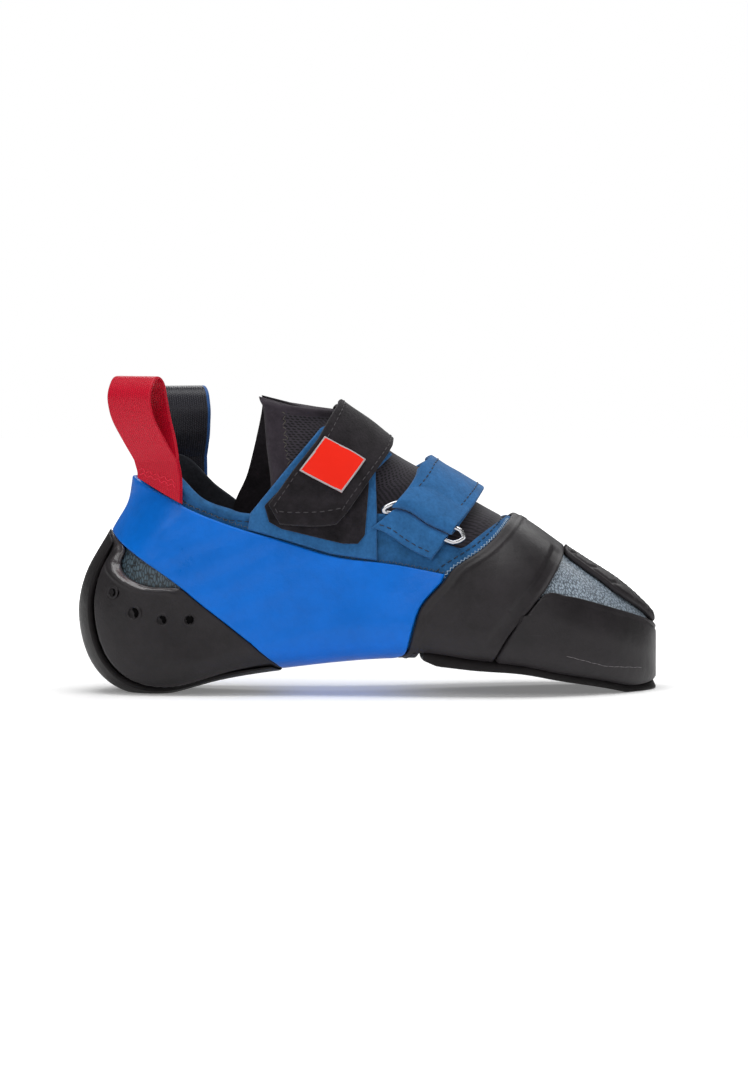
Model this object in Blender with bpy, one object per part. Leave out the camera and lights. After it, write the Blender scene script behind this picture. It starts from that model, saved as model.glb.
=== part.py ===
"""Climbing shoe for the right foot: a slip lasted upper with its rubber, straps and pull loops.

Metres, +Z up, toe along +X, lateral (little toe) side along -Y. The shoe stands on its heel and toe.

Every piece follows one surface, the last. A point of it is named by two numbers:
    station  0 at the top of the ankle, then round the heel, along the arch, 22 at the tip of the toe
    around   0 on the back and underside, 1 on the ridge of the foot, minus on the lateral side
and by how far it is lifted off the last along the normal.
"""

import math

import bmesh
import bpy
import numpy as np
from mathutils import Vector
from mathutils.geometry import delaunay_2d_cdt

# Driving dimensions of the last
LENGTH = 0.240
BALL_WIDTH = 0.085
HEEL_HEIGHT = 0.099
INSTEP_HEIGHT = 0.1175

# Walls and layers
UPPER_WALL = 0.0018
TONGUE_THICKNESS = 0.0026
TONGUE_PUFF = 0.0014
INSOLE_THICKNESS = 0.0020
CUP_THICKNESS = 0.0016
HEEL_SOLE_THICKNESS = 0.0024
BAND_THICKNESS = 0.0020
PANEL_THICKNESS = 0.0018
RAND_THICKNESS = 0.0020
PATCH_THICKNESS = 0.0020
OUTSOLE_THICKNESS = 0.0035
WING_THICKNESS = 0.0013
PAD_THICKNESS = 0.0012
MAIN_STRAP_THICKNESS = 0.0020
BADGE_THICKNESS = 0.0006
FRONT_STRAP_THICKNESS = 0.0018
TAB_THICKNESS = 0.0011
RING_WIRE = 0.0020
GAP = 0.0003
FASTENER_GAP = 0.0010
# A facet's middle dips under the curve it stands for: what lies over or inside it keeps this much more
SAG_OUTSIDE = 0.0002
SAG_INSIDE = 0.0006
SEAT = GAP + SAG_OUTSIDE
LINING = UPPER_WALL + GAP + SAG_INSIDE

# Pull loops of webbing, sewn outside the collar with both plies
LOOP_WIDTH = 0.020
LOOP_THICKNESS = 0.0014
LOOP_FOOT = 0.0815
LOOP_SEAM_TOP = 0.0955
LOOP_DEPTH = 0.0145
LOOP_TURN = math.radians(20)
# Places along the shoe as shares of LENGTH from the middle
RED_LOOP_AT = -0.3604
RED_LOOP_TOP = 0.1315
RED_LOOP_LEAN = 0.16
BLACK_LOOP_AT = -0.325
BLACK_LOOP_TOP = 0.1262
BLACK_LOOP_LEAN = 0.02

# Sections of the last, from the top of the ankle round the heel to the toe.
# back_x, ridge_x: share of LENGTH from the middle; back_z: of HEEL_HEIGHT; ridge_z: of INSTEP_HEIGHT
# low_half, top_half: half widths, share of BALL_WIDTH; low_round, top_round: share of the section's height
# square: 2 is an ellipse, more is a flatter underside
SECTIONS = (
    (-0.390, 1.333, -0.058, 1.000, 0.300, 0.300, 0.32, 0.40, 2.0),
    (-0.394, 1.162, -0.033, 0.966, 0.295, 0.300, 0.31, 0.38, 2.0),
    (-0.397, 1.000, -0.004, 0.928, 0.290, 0.305, 0.29, 0.36, 2.0),
    (-0.406, 0.808, 0.021, 0.888, 0.300, 0.312, 0.28, 0.34, 2.0),
    (-0.433, 0.682, 0.042, 0.856, 0.315, 0.318, 0.25, 0.32, 2.0),
    (-0.470, 0.485, 0.062, 0.831, 0.328, 0.322, 0.215, 0.30, 2.0),
    (-0.482, 0.323, 0.081, 0.809, 0.333, 0.325, 0.20, 0.29, 2.0),
    (-0.465, 0.157, 0.098, 0.790, 0.333, 0.328, 0.18, 0.285, 2.1),
    (-0.421, 0.056, 0.112, 0.771, 0.331, 0.332, 0.155, 0.285, 2.2),
    (-0.358, 0.041, 0.127, 0.752, 0.328, 0.337, 0.15, 0.29, 2.3),
    (-0.275, 0.084, 0.142, 0.735, 0.325, 0.342, 0.17, 0.31, 2.4),
    (-0.167, 0.121, 0.158, 0.715, 0.330, 0.352, 0.22, 0.35, 2.5),
    (-0.050, 0.155, 0.179, 0.689, 0.360, 0.372, 0.28, 0.43, 2.8),
    (0.075, 0.172, 0.206, 0.657, 0.432, 0.432, 0.33, 0.55, 3.4),
    (0.175, 0.150, 0.237, 0.623, 0.487, 0.485, 0.36, 0.64, 4.4),
    (0.254, 0.135, 0.275, 0.580, 0.500, 0.500, 0.36, 0.64, 5.5),
    (0.317, 0.106, 0.325, 0.507, 0.478, 0.478, 0.37, 0.63, 6.0),
    (0.371, 0.081, 0.375, 0.439, 0.425, 0.425, 0.38, 0.62, 6.0),
    (0.417, 0.057, 0.419, 0.381, 0.353, 0.353, 0.39, 0.61, 6.0),
    (0.450, 0.037, 0.450, 0.330, 0.270, 0.270, 0.40, 0.60, 6.0),
    (0.471, 0.035, 0.471, 0.289, 0.188, 0.188, 0.41, 0.59, 5.5),
    (0.4835, 0.035, 0.4835, 0.260, 0.100, 0.100, 0.42, 0.58, 5.0),
    (0.489, 0.037, 0.489, 0.243, 0.000, 0.000, 0.42, 0.58, 4.5),
)
TOE = len(SECTIONS) - 1

# Centre line in plan, heel to toe in tenths of LENGTH: share of BALL_WIDTH towards the big toe
CENTRE_LINE = (0.0, 0.0, -0.012, -0.030, -0.045, -0.050, -0.035, 0.005, 0.055, 0.125, 0.205)

# Side view heights are shares of the heel's height, and before the heel of the same share of the instep's
HEEL_OF_INSTEP = 0.842553
INSTEP_FROM = -0.33
INSTEP_BLEND = 0.12

# Outlines in side view: x as a share of LENGTH from the middle, z as a share of HEEL_HEIGHT
COLLAR_LATERAL = (
    (-0.3965, 0.992), (-0.358, 0.968), (-0.322, 0.905), (-0.292, 0.834), (-0.262, 0.796),
    (-0.235, 0.776), (-0.202, 0.759), (-0.083, 0.757), (0.033, 0.757), (0.083, 0.700),
    (0.133, 0.637), (0.160, 0.622), (0.185, 0.664), (0.222, 0.722), (0.242, 0.742),
)
COLLAR_MEDIAL = (
    (-0.3965, 0.992), (-0.358, 0.990), (-0.320, 0.975), (-0.285, 0.897), (-0.262, 0.845),
    (-0.235, 0.796), (-0.202, 0.768), (-0.083, 0.757), (0.033, 0.757), (0.083, 0.700),
    (0.133, 0.637), (0.160, 0.622), (0.185, 0.664), (0.222, 0.722), (0.242, 0.742),
)
BAND_TOP = (
    (-0.402, 0.905), (-0.352, 0.834), (-0.330, 0.805), (-0.292, 0.758), (-0.209, 0.687),
    (-0.141, 0.641), (-0.067, 0.586), (0.004, 0.561), (0.055, 0.544), (0.134, 0.505),
)
BAND_LOWER = (
    (-0.440, 0.684), (-0.417, 0.616), (-0.337, 0.477), (-0.292, 0.389), (-0.247, 0.305),
    (-0.198, 0.212), (-0.165, 0.155), (-0.148, 0.110),
)
PANEL_REAR = (
    (0.020, 0.150), (0.058, 0.186), (0.069, 0.221), (0.081, 0.321), (0.096, 0.397),
    (0.126, 0.477), (0.148, 0.540), (0.200, 0.624), (0.253, 0.760),
)
BAND_CORNER_HEIGHT = 0.507
PANEL_FRONT = (
    (0.321, 0.700), (0.328, 0.620), (0.331, 0.570), (0.304, 0.460),
    (0.285, 0.402), (0.244, 0.284), (0.224, 0.213), (0.212, 0.165),
)
PATCH_START = 16.1
PATCH_SIDE = (
    (0.3260, 0.690), (0.331, 0.610), (0.334, 0.575), (0.358, 0.528),
    (0.402, 0.452), (0.421, 0.414), (0.460, 0.350), (0.479, 0.312),
)
RAND_TOP = (
    (0.294, 0.408), (0.304, 0.422), (0.330, 0.412), (0.356, 0.397), (0.436, 0.332),
    (0.478, 0.290), (0.489, 0.272),
)
RAND_REAR = ((0.294, 0.408), (0.250, 0.284), (0.230, 0.213), (0.217, 0.165))
TONGUE_SIDE = (
    (-0.192, 1.262), (-0.186, 1.187), (-0.202, 1.006), (-0.217, 0.885), (-0.236, 0.775),
    (-0.212, 0.672), (-0.083, 0.667), (0.033, 0.660), (0.092, 0.580), (0.133, 0.515),
    (0.175, 0.505), (0.225, 0.560), (0.262, 0.520),
)
TONGUE_TOP = 0.0
TONGUE_FRONT = 15.2
SOLE_REACH = 0.205
SOLE_BACK = 0.086
INSOLE_OUTLINE = (
    (7.5, 0.00), (7.55, 0.08), (7.9, 0.16), (8.6, 0.21), (10.0, 0.22), (12.0, 0.20),
    (14.0, 0.16), (16.0, 0.14), (18.5, 0.13), (19.8, 0.11), (20.4, 0.05), (20.5, 0.00),
)

# Straps and their pieces: corners in side view, the same shares
WING_CORNERS = (
    (-0.205, 0.700), (-0.204, 0.760), (-0.140, 0.950), (-0.085, 1.110), (-0.050, 1.140),
    (0.010, 1.040), (0.036, 0.990), (0.008, 0.930), (0.012, 0.760), (0.013, 0.580),
    (-0.064, 0.610), (-0.140, 0.668),
)
WING_TOP = 0.93
PAD_TOP = 0.83
PAD_CORNERS = (
    (-0.179, 0.792), (-0.171, 0.725), (-0.150, 0.697), (-0.045, 0.636), (-0.020, 0.636),
    (-0.008, 0.670), (-0.004, 0.880), (-0.020, 0.950), (-0.120, 0.940),
)
MAIN_STRAP_REAR = ((-0.152, 0.716), (-0.171, 0.796), (-0.130, 0.930), (-0.092, 1.050), (-0.051, 1.250))
MAIN_STRAP_FRONT = ((-0.056, 0.716), (-0.039, 0.763), (-0.003, 0.893), (0.028, 1.000), (0.041, 1.120))
BADGE_CORNERS = ((-0.076, 1.065), (-0.006, 0.960), (-0.048, 0.828), (-0.119, 0.922))
FRONT_STRAP_SPAN = (8.6, 12.2)
FRONT_STRAP_LIFT = 0.0019
FRONT_STRAP_ROOT = 0.094
FRONT_STRAP_TIP = 0.075
TAB_SPAN = (9.35, 11.9)
TAB_HEIGHT = 0.0095
RING_SPAN = (8.1, 12.7)
RING_LOW_BAR = -0.0015
RING_TOP_BAR = 0.0050

# Lateral top edge of the heel cup, which dips below the band round a window of bare leather
CUP_TOP = (
    (-0.440, 0.684), (-0.425, 0.636), (-0.417, 0.600), (-0.4235, 0.561), (-0.421, 0.515),
    (-0.403, 0.479), (-0.3735, 0.455), (-0.338, 0.452), (-0.318, 0.440), (-0.292, 0.389),
    (-0.247, 0.305), (-0.198, 0.212), (-0.165, 0.155), (-0.148, 0.110),
)
# Round holes of the heel cup in side view: x, z, and radius in metres
HOLES = ((-0.431, 0.427, 0.0019), (-0.400, 0.347, 0.0024), (-0.355, 0.318, 0.0021), (-0.308, 0.318, 0.0021))
RIM_RISE = 0.0045

# How finely the pieces are faceted
ROWS = (
    0.0, 0.7, 1.4, 2.0, 2.5, 3.0, 3.5, 4.0, 4.5, 5.0, 5.5, 6.0, 6.5, 7.0, 7.5, 8.0, 8.5, 9.0, 9.5,
    10.0, 10.4, 10.8, 11.2, 11.6, 12.0, 12.4, 12.8, 13.2, 13.6, 14.0, 14.5, 15.0, 15.5, 16.0, 16.6,
    17.2, 17.8, 18.4, 19.0, 19.6, 20.2, 21.0, 21.6, 22.0,
)
COLUMNS = (0.0, 0.06, 0.13, 0.20, 0.27, 0.34, 0.42, 0.50, 0.58, 0.66, 0.74, 0.82, 0.91, 1.0)
ROW_PITCH = 0.008
AROUND_PITCH = 0.090
EDGE_STEP = 0.0055
CLEAR_OF_EDGE = 0.0018


def spline(rows, at):
    """Natural cubic spline through rows at 0, 1, 2 and so on, read at any positions."""
    rows = np.asarray(rows, float)
    if rows.ndim == 1:
        rows = rows[:, None]
    count = len(rows)
    system = np.eye(count)
    right = np.zeros_like(rows)
    for i in range(1, count - 1):
        system[i, i - 1:i + 2] = (1, 4, 1)
        right[i] = 6 * (rows[i - 1] - 2 * rows[i] + rows[i + 1])
    bend = np.linalg.solve(system, right)
    at = np.clip(np.asarray(at, float), 0, count - 1)
    i = np.minimum(at.astype(int), count - 2)
    t = (at - i)[..., None]
    low = (1 - t) * rows[i] + ((1 - t) ** 3 - (1 - t)) * bend[i] / 6
    high = t * rows[i + 1] + (t ** 3 - t) * bend[i + 1] / 6
    return low + high


def section(station):
    """Back point, ridge point, half widths, rounding lengths and squareness at each station."""
    row = spline(SECTIONS, station)
    back = np.stack([row[..., 0] * LENGTH, row[..., 1] * HEEL_HEIGHT], -1)
    ridge = np.stack([row[..., 2] * LENGTH, row[..., 3] * INSTEP_HEIGHT], -1)
    tall = np.linalg.norm(ridge - back, axis=-1)
    half = np.maximum(row[..., 4:6], 0) * BALL_WIDTH
    low = row[..., 6] * tall
    top = np.minimum(row[..., 7] * tall, tall - low)
    return back, ridge, tall, half, low, top, row[..., 8]


def split(half, low, top, tall):
    """Shares of the way around where the lower rounding ends and the upper rounding starts."""
    low_arc = math.pi / 2 * np.sqrt((half[..., 0] ** 2 + low ** 2) / 2)
    top_arc = math.pi / 2 * np.sqrt((half[..., 1] ** 2 + top ** 2) / 2)
    whole = low_arc + top_arc + (tall - low - top)
    return low_arc / whole, 1 - top_arc / whole


def centre_y(x):
    """Side step of the centre line at a place along the shoe."""
    return spline(CENTRE_LINE, (x / LENGTH + 0.5) * 10)[..., 0] * BALL_WIDTH


def on_last(station, around):
    """Points of the last: a rounded section standing on the line from its back point to its ridge point."""
    around = (np.asarray(around, float) + 1) % 2 - 1
    back, ridge, tall, half, low, top, square = section(station)
    a, b = split(half, low, top, tall)
    share = np.abs(around)
    bottom = np.clip(share / a, 0, 1) * math.pi / 2
    crown = np.clip((1 - share) / (1 - b), 0, 1) * math.pi / 2
    flat = np.clip((share - a) / np.maximum(b - a, 1e-6), 0, 1)
    up = low * (1 - np.cos(bottom) ** (2 / square)) + flat * (tall - low - top)
    up = np.where(share > b, tall - top * (1 - np.cos(crown)), up)
    wide = np.where(share < a, np.sin(bottom) ** (2 / square), np.where(share > b, np.sin(crown), 1.0))
    reach = half[..., 0] + (half[..., 1] - half[..., 0]) * up / tall
    side = back + (ridge - back) * (up / tall)[..., None]
    y = centre_y(side[..., 0]) + np.sign(around) * wide * reach
    return np.stack([side[..., 0], y, side[..., 1]], -1)


def normals(station, around):
    """Outward unit normals of the last, from small steps along and around it."""
    station = np.clip(np.asarray(station, float), 0.03, TOE - 0.03)
    around = np.asarray(around, float)
    along = on_last(station + 0.02, around) - on_last(station - 0.02, around)
    across = on_last(station, around + 0.006) - on_last(station, around - 0.006)
    out = np.cross(across, along)
    return out / np.linalg.norm(out, axis=-1, keepdims=True)


def place(station, around, lift):
    """Points lifted off the last. The two sides of the toe meet on one line, so its normals stay on it."""
    station = np.asarray(station, float)
    out = normals(station, around)
    tip = station > TOE - 1e-6
    out[tip] += normals(station, -np.asarray(around, float))[tip]
    out[tip, 1] = 0
    out[tip] /= np.linalg.norm(out[tip], axis=-1, keepdims=True)
    return on_last(station, around) + out * np.asarray(lift, float)[..., None]


def locate(x, z):
    """Station and way around, without its sign, of places given in side view."""
    fine = np.linspace(0, TOE, 881)
    back, ridge = section(fine)[:2]
    place_xz = np.stack([x, z], -1)[:, None, :]
    to = place_xz - back
    line = ridge - back
    turn = to[..., 0] * line[:, 1] - to[..., 1] * line[:, 0]
    found = []
    for row in turn:
        change = np.nonzero(np.diff(np.sign(row)))[0]
        i = change[0] if len(change) else int(np.argmin(np.abs(row)))
        j = min(i + 1, len(fine) - 1)
        t = row[i] / (row[i] - row[j]) if row[i] != row[j] else 0.0
        found.append(fine[i] + (fine[j] - fine[i]) * t)
    station = np.array(found)
    back, ridge, tall, half, low, top, square = section(station)
    a, b = split(half, low, top, tall)
    up = np.sum((place_xz[:, 0] - back) * (ridge - back), -1) / tall
    bottom = np.arccos(np.clip(1 - up / low, 0, 1) ** (square / 2))
    crown = np.arccos(np.clip(1 - (tall - up) / top, 0, 1))
    middle = a + (b - a) * np.clip((up - low) / np.maximum(tall - low - top, 1e-9), 0, 1)
    around = np.where(up < low, a * bottom / (math.pi / 2), middle)
    around = np.where(tall - up < top, 1 - (1 - b) * crown / (math.pi / 2), around)
    return np.stack([station, np.clip(around, 0, 1)], -1)


def smoothstep(value):
    """0 to 1 with soft ends."""
    t = np.clip(value, 0, 1)
    return t * t * (3 - 2 * t)


def side_height(x, z):
    """Height of a side view share: it follows the heel's height at the heel and the instep's before it."""
    before_heel = smoothstep((x - INSTEP_FROM) / INSTEP_BLEND)
    return z * (HEEL_HEIGHT + (INSTEP_HEIGHT * HEEL_OF_INSTEP - HEEL_HEIGHT) * before_heel)


def outline(points, steps=6):
    """Smooth side view curve through shares of the length and height, as stations and ways around."""
    curve = spline(points, np.linspace(0, len(points) - 1, (len(points) - 1) * steps + 1))
    return locate(curve[:, 0] * LENGTH, side_height(curve[:, 0], curve[:, 1]))


def lateral(curve):
    """The same curve on the little toe's side."""
    return curve * (1, -1)


def pitch(curve):
    """A curve in metres along and around, near enough to space its points."""
    return np.asarray(curve) * (ROW_PITCH, AROUND_PITCH)


def resample(curve, step=EDGE_STEP):
    """The curve with points about a step apart, its two ends kept."""
    gone = np.concatenate([[0], np.cumsum(np.linalg.norm(np.diff(pitch(curve), axis=0), axis=1))])
    count = max(int(round(gone[-1] / step)), 1)
    at = np.linspace(0, gone[-1], count + 1)
    return np.stack([np.interp(at, gone, curve[:, 0]), np.interp(at, gone, curve[:, 1])], -1)


def row_steps(start, end):
    """The shared rows between two stations, with both ends."""
    inside = [row for row in ROWS if min(start, end) + 0.12 < row < max(start, end) - 0.12]
    if start > end:
        inside.reverse()
    return np.array([start, *inside, end])


def seam(start, end, around):
    """A line along the shoe at one way around, with a point on each shared row."""
    rows = row_steps(start, end)
    return np.stack([rows, np.full(len(rows), around)], -1)


def loop_of(*curves):
    """One closed outline from curves laid end to end, doubled points left out."""
    joined = np.concatenate(curves)
    apart = np.linalg.norm(pitch(joined) - pitch(np.roll(joined, 1, axis=0)), axis=1) > 0.0002
    return joined[apart]


def inside(points, loop):
    """Which points lie within a closed outline."""
    x, y = points[:, 0, None], points[:, 1, None]
    ax, ay = loop[:, 0], loop[:, 1]
    bx, by = np.roll(ax, -1), np.roll(ay, -1)
    spans = (ay > y) != (by > y)
    cut = ax + (y - ay) / np.where(by == ay, 1, by - ay) * (bx - ax)
    return (spans & (x < cut)).sum(1) % 2 == 1


def edge_distance(points, loop):
    """Distance of each point to the nearest side of a closed outline."""
    a = loop
    b = np.roll(loop, -1, axis=0)
    run = b - a
    t = ((points[:, None] - a) * run).sum(-1) / np.maximum((run ** 2).sum(-1), 1e-12)
    near = a + run * np.clip(t, 0, 1)[..., None]
    return np.linalg.norm(points[:, None] - near, axis=-1).min(1)


def facets(region, holes=()):
    """Triangles over a region of the last: the shared rows and columns inside it, tied to its outlines."""
    loops = [pitch(loop) for loop in (region, *holes)]
    columns = sorted({side * column for column in COLUMNS for side in (-1, 1)})
    columns += [2 - column for column in COLUMNS[:-1]]
    grid = pitch(np.stack(np.meshgrid(ROWS, columns, indexing="ij"), -1).reshape(-1, 2))
    keep = inside(grid, loops[0])
    for loop in loops:
        keep &= edge_distance(grid, loop) > CLEAR_OF_EDGE
    for loop in loops[1:]:
        keep &= ~inside(grid, loop)
    points = [*np.concatenate(loops), *grid[keep]]
    sides = []
    start = 0
    for loop in loops:
        count = len(loop)
        sides += [(start + i, start + (i + 1) % count) for i in range(count)]
        start += count
    done = delaunay_2d_cdt([Vector(point) for point in points], sides, [], 0, 1e-7)
    corners = np.array([tuple(vertex) for vertex in done[0]])
    triangles = np.array(done[2])
    middle = corners[triangles].mean(1)
    used = inside(middle, loops[0])
    for loop in loops[1:]:
        used &= ~inside(middle, loop)
    return corners / (ROW_PITCH, AROUND_PITCH), triangles[used]


def finish(name, vertices, faces, paint):
    """One closed mesh object with its material, doubled points welded and faces pointing out."""
    mesh = bpy.data.meshes.new(name)
    work = bmesh.new()
    made = [work.verts.new(vertex) for vertex in vertices]
    for face in faces:
        if len({tuple(np.round(vertices[i], 6)) for i in face}) == len(face):
            work.faces.new([made[i] for i in face])
    bmesh.ops.remove_doubles(work, verts=work.verts, dist=2e-6)
    bmesh.ops.dissolve_degenerate(work, dist=2e-6, edges=work.edges)
    loose = [vertex for vertex in work.verts if not vertex.link_faces]
    bmesh.ops.delete(work, geom=loose, context="VERTS")
    bmesh.ops.triangulate(work, faces=work.faces)
    bmesh.ops.recalc_face_normals(work, faces=work.faces)
    work.to_mesh(mesh)
    work.free()
    mesh.shade_smooth()
    mesh.set_sharp_from_angle(angle=math.radians(40))
    mesh.materials.append(paint)
    piece = bpy.data.objects.new(name, mesh)
    bpy.context.scene.collection.objects.link(piece)
    return piece


def as_lift(lift, station, around):
    """A lift may be one number or a rule of station and way around."""
    if callable(lift):
        return lift(station, around)
    return np.full(len(station), float(lift))


def layer(name, regions, under, over, paint, outer_place=place):
    """A closed piece between two lifts over regions of the last.

    Each region is an outline and its holes. Sides that lie on the toe's line or the ridge get no wall,
    because the piece goes on there, and their points are welded.
    """
    vertices = []
    faces = []
    for region, holes in regions:
        corners, triangles = facets(region, holes)
        station, around = corners.T
        outer = outer_place(station, around, as_lift(over, station, around))
        inner = place(station, around, as_lift(under, station, around))
        base = len(vertices)
        count = len(corners)
        vertices += [*outer, *inner]
        faces += [tuple(base + i for i in triangle) for triangle in triangles]
        faces += [tuple(base + count + i for i in reversed(triangle)) for triangle in triangles]
        goes_round = around.min() < -1 + 1e-6
        sides = {}
        for triangle in triangles:
            for i, j in zip(triangle, np.roll(triangle, -1)):
                sides[(i, j)] = sides.get((i, j), 0) + 1
        for i, j in sides:
            if (j, i) in sides:
                continue
            toe = station[i] > TOE - 1e-6 and station[j] > TOE - 1e-6
            ridge = abs(abs(around[i]) - 1) < 1e-6 and abs(around[i] - around[j]) < 1e-6
            if toe or (goes_round and ridge and min(station[i], station[j]) > VAMP - 1e-6):
                continue
            faces.append((base + j, base + i, base + count + i, base + count + j))
    return finish(name, vertices, faces, paint)


def paint(name, colour, roughness, metallic=0.0):
    """A plain surface with the colour, roughness and metallic value of the real material."""
    material = bpy.data.materials.new(name)
    material.use_nodes = True
    shader = material.node_tree.nodes["Principled BSDF"]
    shader.inputs["Base Color"].default_value = (*colour, 1)
    shader.inputs["Roughness"].default_value = roughness
    shader.inputs["Metallic"].default_value = metallic
    return material


def start_scene():
    """Clear whatever the scene holds."""
    for thing in list(bpy.data.objects):
        bpy.data.objects.remove(thing)


start_scene()
SUEDE = paint("blue suede", (0.02, 0.06, 0.13), 0.9)
MESH_FABRIC = paint("black mesh", (0.02, 0.018, 0.024), 0.9)
RUBBER = paint("black rubber", (0.025, 0.021, 0.024), 0.6)
BLUE_RUBBER = paint("blue rubber", (0.0, 0.13, 0.56), 0.45)
BLUE_STRAP = paint("blue strap suede", (0.04, 0.14, 0.34), 0.85)
BLACK_STRAP = paint("black hook strap", (0.015, 0.013, 0.015), 0.8)
RED_SATIN = paint("red satin badge", (0.8, 0.06, 0.03), 0.5)
RED_WEBBING = paint("red webbing", (0.6, 0.0, 0.025), 0.6)
BLACK_WEBBING = paint("black webbing", (0.03, 0.03, 0.04), 0.5)
STEEL = paint("steel wire", (0.7, 0.7, 0.7), 0.25, 1.0)
BOARD = paint("insole board", (0.3, 0.28, 0.26), 0.9)

collar_lateral = resample(lateral(outline(COLLAR_LATERAL)))
collar_medial = resample(outline(COLLAR_MEDIAL))
COLLAR_BACK = 0.5 * (collar_lateral[0, 0] + collar_medial[0, 0])
VAMP = 0.5 * (collar_lateral[-1, 0] + collar_medial[-1, 0])


def closed_collar():
    """The collar and throat, from the ridge at the vamp round the heel and back to the ridge."""
    low = collar_lateral[1:-1]
    high = collar_medial[1:-1]
    vamp_lateral = np.array([[VAMP, -1.0]])
    vamp_medial = np.array([[VAMP, 1.0]])
    return np.concatenate([vamp_lateral, low[::-1], [[COLLAR_BACK, 0.0]], high, vamp_medial])


def toe_row(start, end):
    """Points up the toe's line, one on each shared column."""
    columns = [c * side for c in COLUMNS for side in (-1, 1)]
    between = sorted({c for c in columns if min(start, end) + 0.03 < c < max(start, end) - 0.03})
    if start > end:
        between.reverse()
    around = np.array([start, *between, end])
    return np.stack([np.full(len(around), float(TOE)), around], -1)


def mirrored(curve):
    """A little toe side curve carried over the ridge, where the way around runs on past 1."""
    return curve * (1, -1) + (0, 2)


def share_up(around):
    """Way around without its side, for points carried past the ridge too."""
    return np.abs((np.asarray(around, float) + 1) % 2 - 1)


def inset(loop, distance):
    """A closed outline moved inwards, or outwards when the distance is negative."""
    points = pitch(loop)
    ahead = np.roll(points, -1, axis=0) - points
    behind = points - np.roll(points, 1, axis=0)
    ahead = ahead / np.linalg.norm(ahead, axis=1)[:, None]
    behind = behind / np.linalg.norm(behind, axis=1)[:, None]
    tangent = ahead + behind
    tangent /= np.maximum(np.linalg.norm(tangent, axis=1), 1e-9)[:, None]
    x, y = points.T
    area = 0.5 * np.sum(x * np.roll(y, -1) - np.roll(x, -1) * y)
    inward = np.stack([-tangent[:, 1], tangent[:, 0]], -1) * np.sign(area)
    return (points + inward * distance) / (ROW_PITCH, AROUND_PITCH)


def corners_outline(corners, step=EDGE_STEP):
    """A closed side view outline with straight sides, as stations and ways around without their side."""
    closed = np.array([*corners, corners[0]])
    parts = []
    for start, end in zip(closed[:-1], closed[1:]):
        long = np.linalg.norm((end - start) * (LENGTH, HEEL_HEIGHT))
        count = max(int(round(long / step)), 1)
        parts.append(start + (end - start) * np.linspace(0, 1, count, endpoint=False)[:, None])
    points = np.concatenate(parts)
    return locate(points[:, 0] * LENGTH, side_height(points[:, 0], points[:, 1]))


def both_sides(curve):
    """A curve from the back line to the back line, closed by its mirror image."""
    return loop_of(lateral(curve), curve[::-1][1:-1])


def make_upper():
    region = loop_of(
        closed_collar(),
        seam(VAMP, TOE, 1.0)[1:],
        toe_row(1.0, -1.0)[1:],
        seam(TOE, VAMP, -1.0)[1:-1],
    )
    return layer("upper", [(region, ())], -UPPER_WALL, 0.0, SUEDE)


def tongue_lift(station, around):
    """Under the quarters the tongue lies just inside them, and it swells a little in the throat."""
    edge = np.interp(station, collar_lateral[:, 0], collar_lateral[:, 1] * -1, left=0.55)
    swell = smoothstep((share_up(around) - edge - 0.02) / 0.12)
    return TONGUE_PUFF * swell - LINING


def make_tongue():
    side = resample(outline(TONGUE_SIDE))
    side = side[(side[:, 0] > TONGUE_TOP + 0.1) & (side[:, 0] < TONGUE_FRONT - 0.1)]
    top = seam_across(TONGUE_TOP, side[0, 1], 2 - side[0, 1])
    front = seam_across(TONGUE_FRONT, 2 - side[-1, 1], side[-1, 1])
    region = loop_of(top, mirrored(side), front, side[::-1])
    inner = -LINING - TONGUE_THICKNESS
    return layer("tongue", [(region, ())], inner, tongue_lift, MESH_FABRIC)


def seam_across(station, start, end):
    """A line across the shoe at one station, with a point on each shared column."""
    columns = {c * side for c in COLUMNS for side in (-1, 1)} | {2 - c for c in COLUMNS}
    between = sorted(c for c in columns if min(start, end) + 0.03 < c < max(start, end) - 0.03)
    if start > end:
        between.reverse()
    around = np.array([start, *between, end])
    return np.stack([np.full(len(around), float(station)), around], -1)


def make_insole():
    curve = resample(np.array(INSOLE_OUTLINE))
    return layer("insole", [(both_sides(curve), ())], -LINING - INSOLE_THICKNESS, -LINING, BOARD)


def heel_opening():
    """Lower edge of the band: round the heel and under the arch."""
    return resample(outline(BAND_LOWER))


def make_heel_cup():
    edge = resample(outline(CUP_TOP), 0.004)
    region = inset(loop_of(lateral(edge), heel_opening()[::-1][1:-1]), 2 * GAP)
    turn = np.linspace(0, 2 * math.pi, 9)[:-1]
    rounds = []
    for x, z, radius in HOLES:
        ring = locate(x * LENGTH + radius * np.cos(turn), side_height(x, z) + radius * np.sin(turn))
        rounds.append(lateral(ring))
    return layer("heel_cup", [(region, rounds)], SEAT, SEAT + CUP_THICKNESS, RUBBER)


def on_floor(station, around, lift):
    """Lifted points, pressed flat where they would reach through the floor."""
    points = place(station, around, lift)
    points[:, 2] = np.maximum(points[:, 2], 0)
    return points


def make_heel_sole():
    opening = heel_opening()
    rows = row_steps(opening[0, 0] + 0.35, opening[-1, 0] - 0.12)
    _, _, tall, half, low, top, square = section(rows)
    a, _ = split(half, low, top, tall)
    rim = a * np.arccos((1 - RIM_RISE / low) ** (square / 2)) / (math.pi / 2)
    reach = np.minimum(rim, np.interp(rows, opening[:, 0], opening[:, 1]) - 0.02)
    curve = np.stack([rows, np.maximum(reach, 0.012)], -1)
    start = seam_across(rows[0], curve[0, 1], -curve[0, 1])
    end = seam_across(rows[-1], -curve[-1, 1], curve[-1, 1])
    region = loop_of(start, lateral(curve)[1:-1], end, curve[::-1][1:-1])
    under = SEAT + CUP_THICKNESS + SEAT + SAG_OUTSIDE
    return layer("heel_sole", [(region, ())], under, under + HEEL_SOLE_THICKNESS, RUBBER, on_floor)


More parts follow.
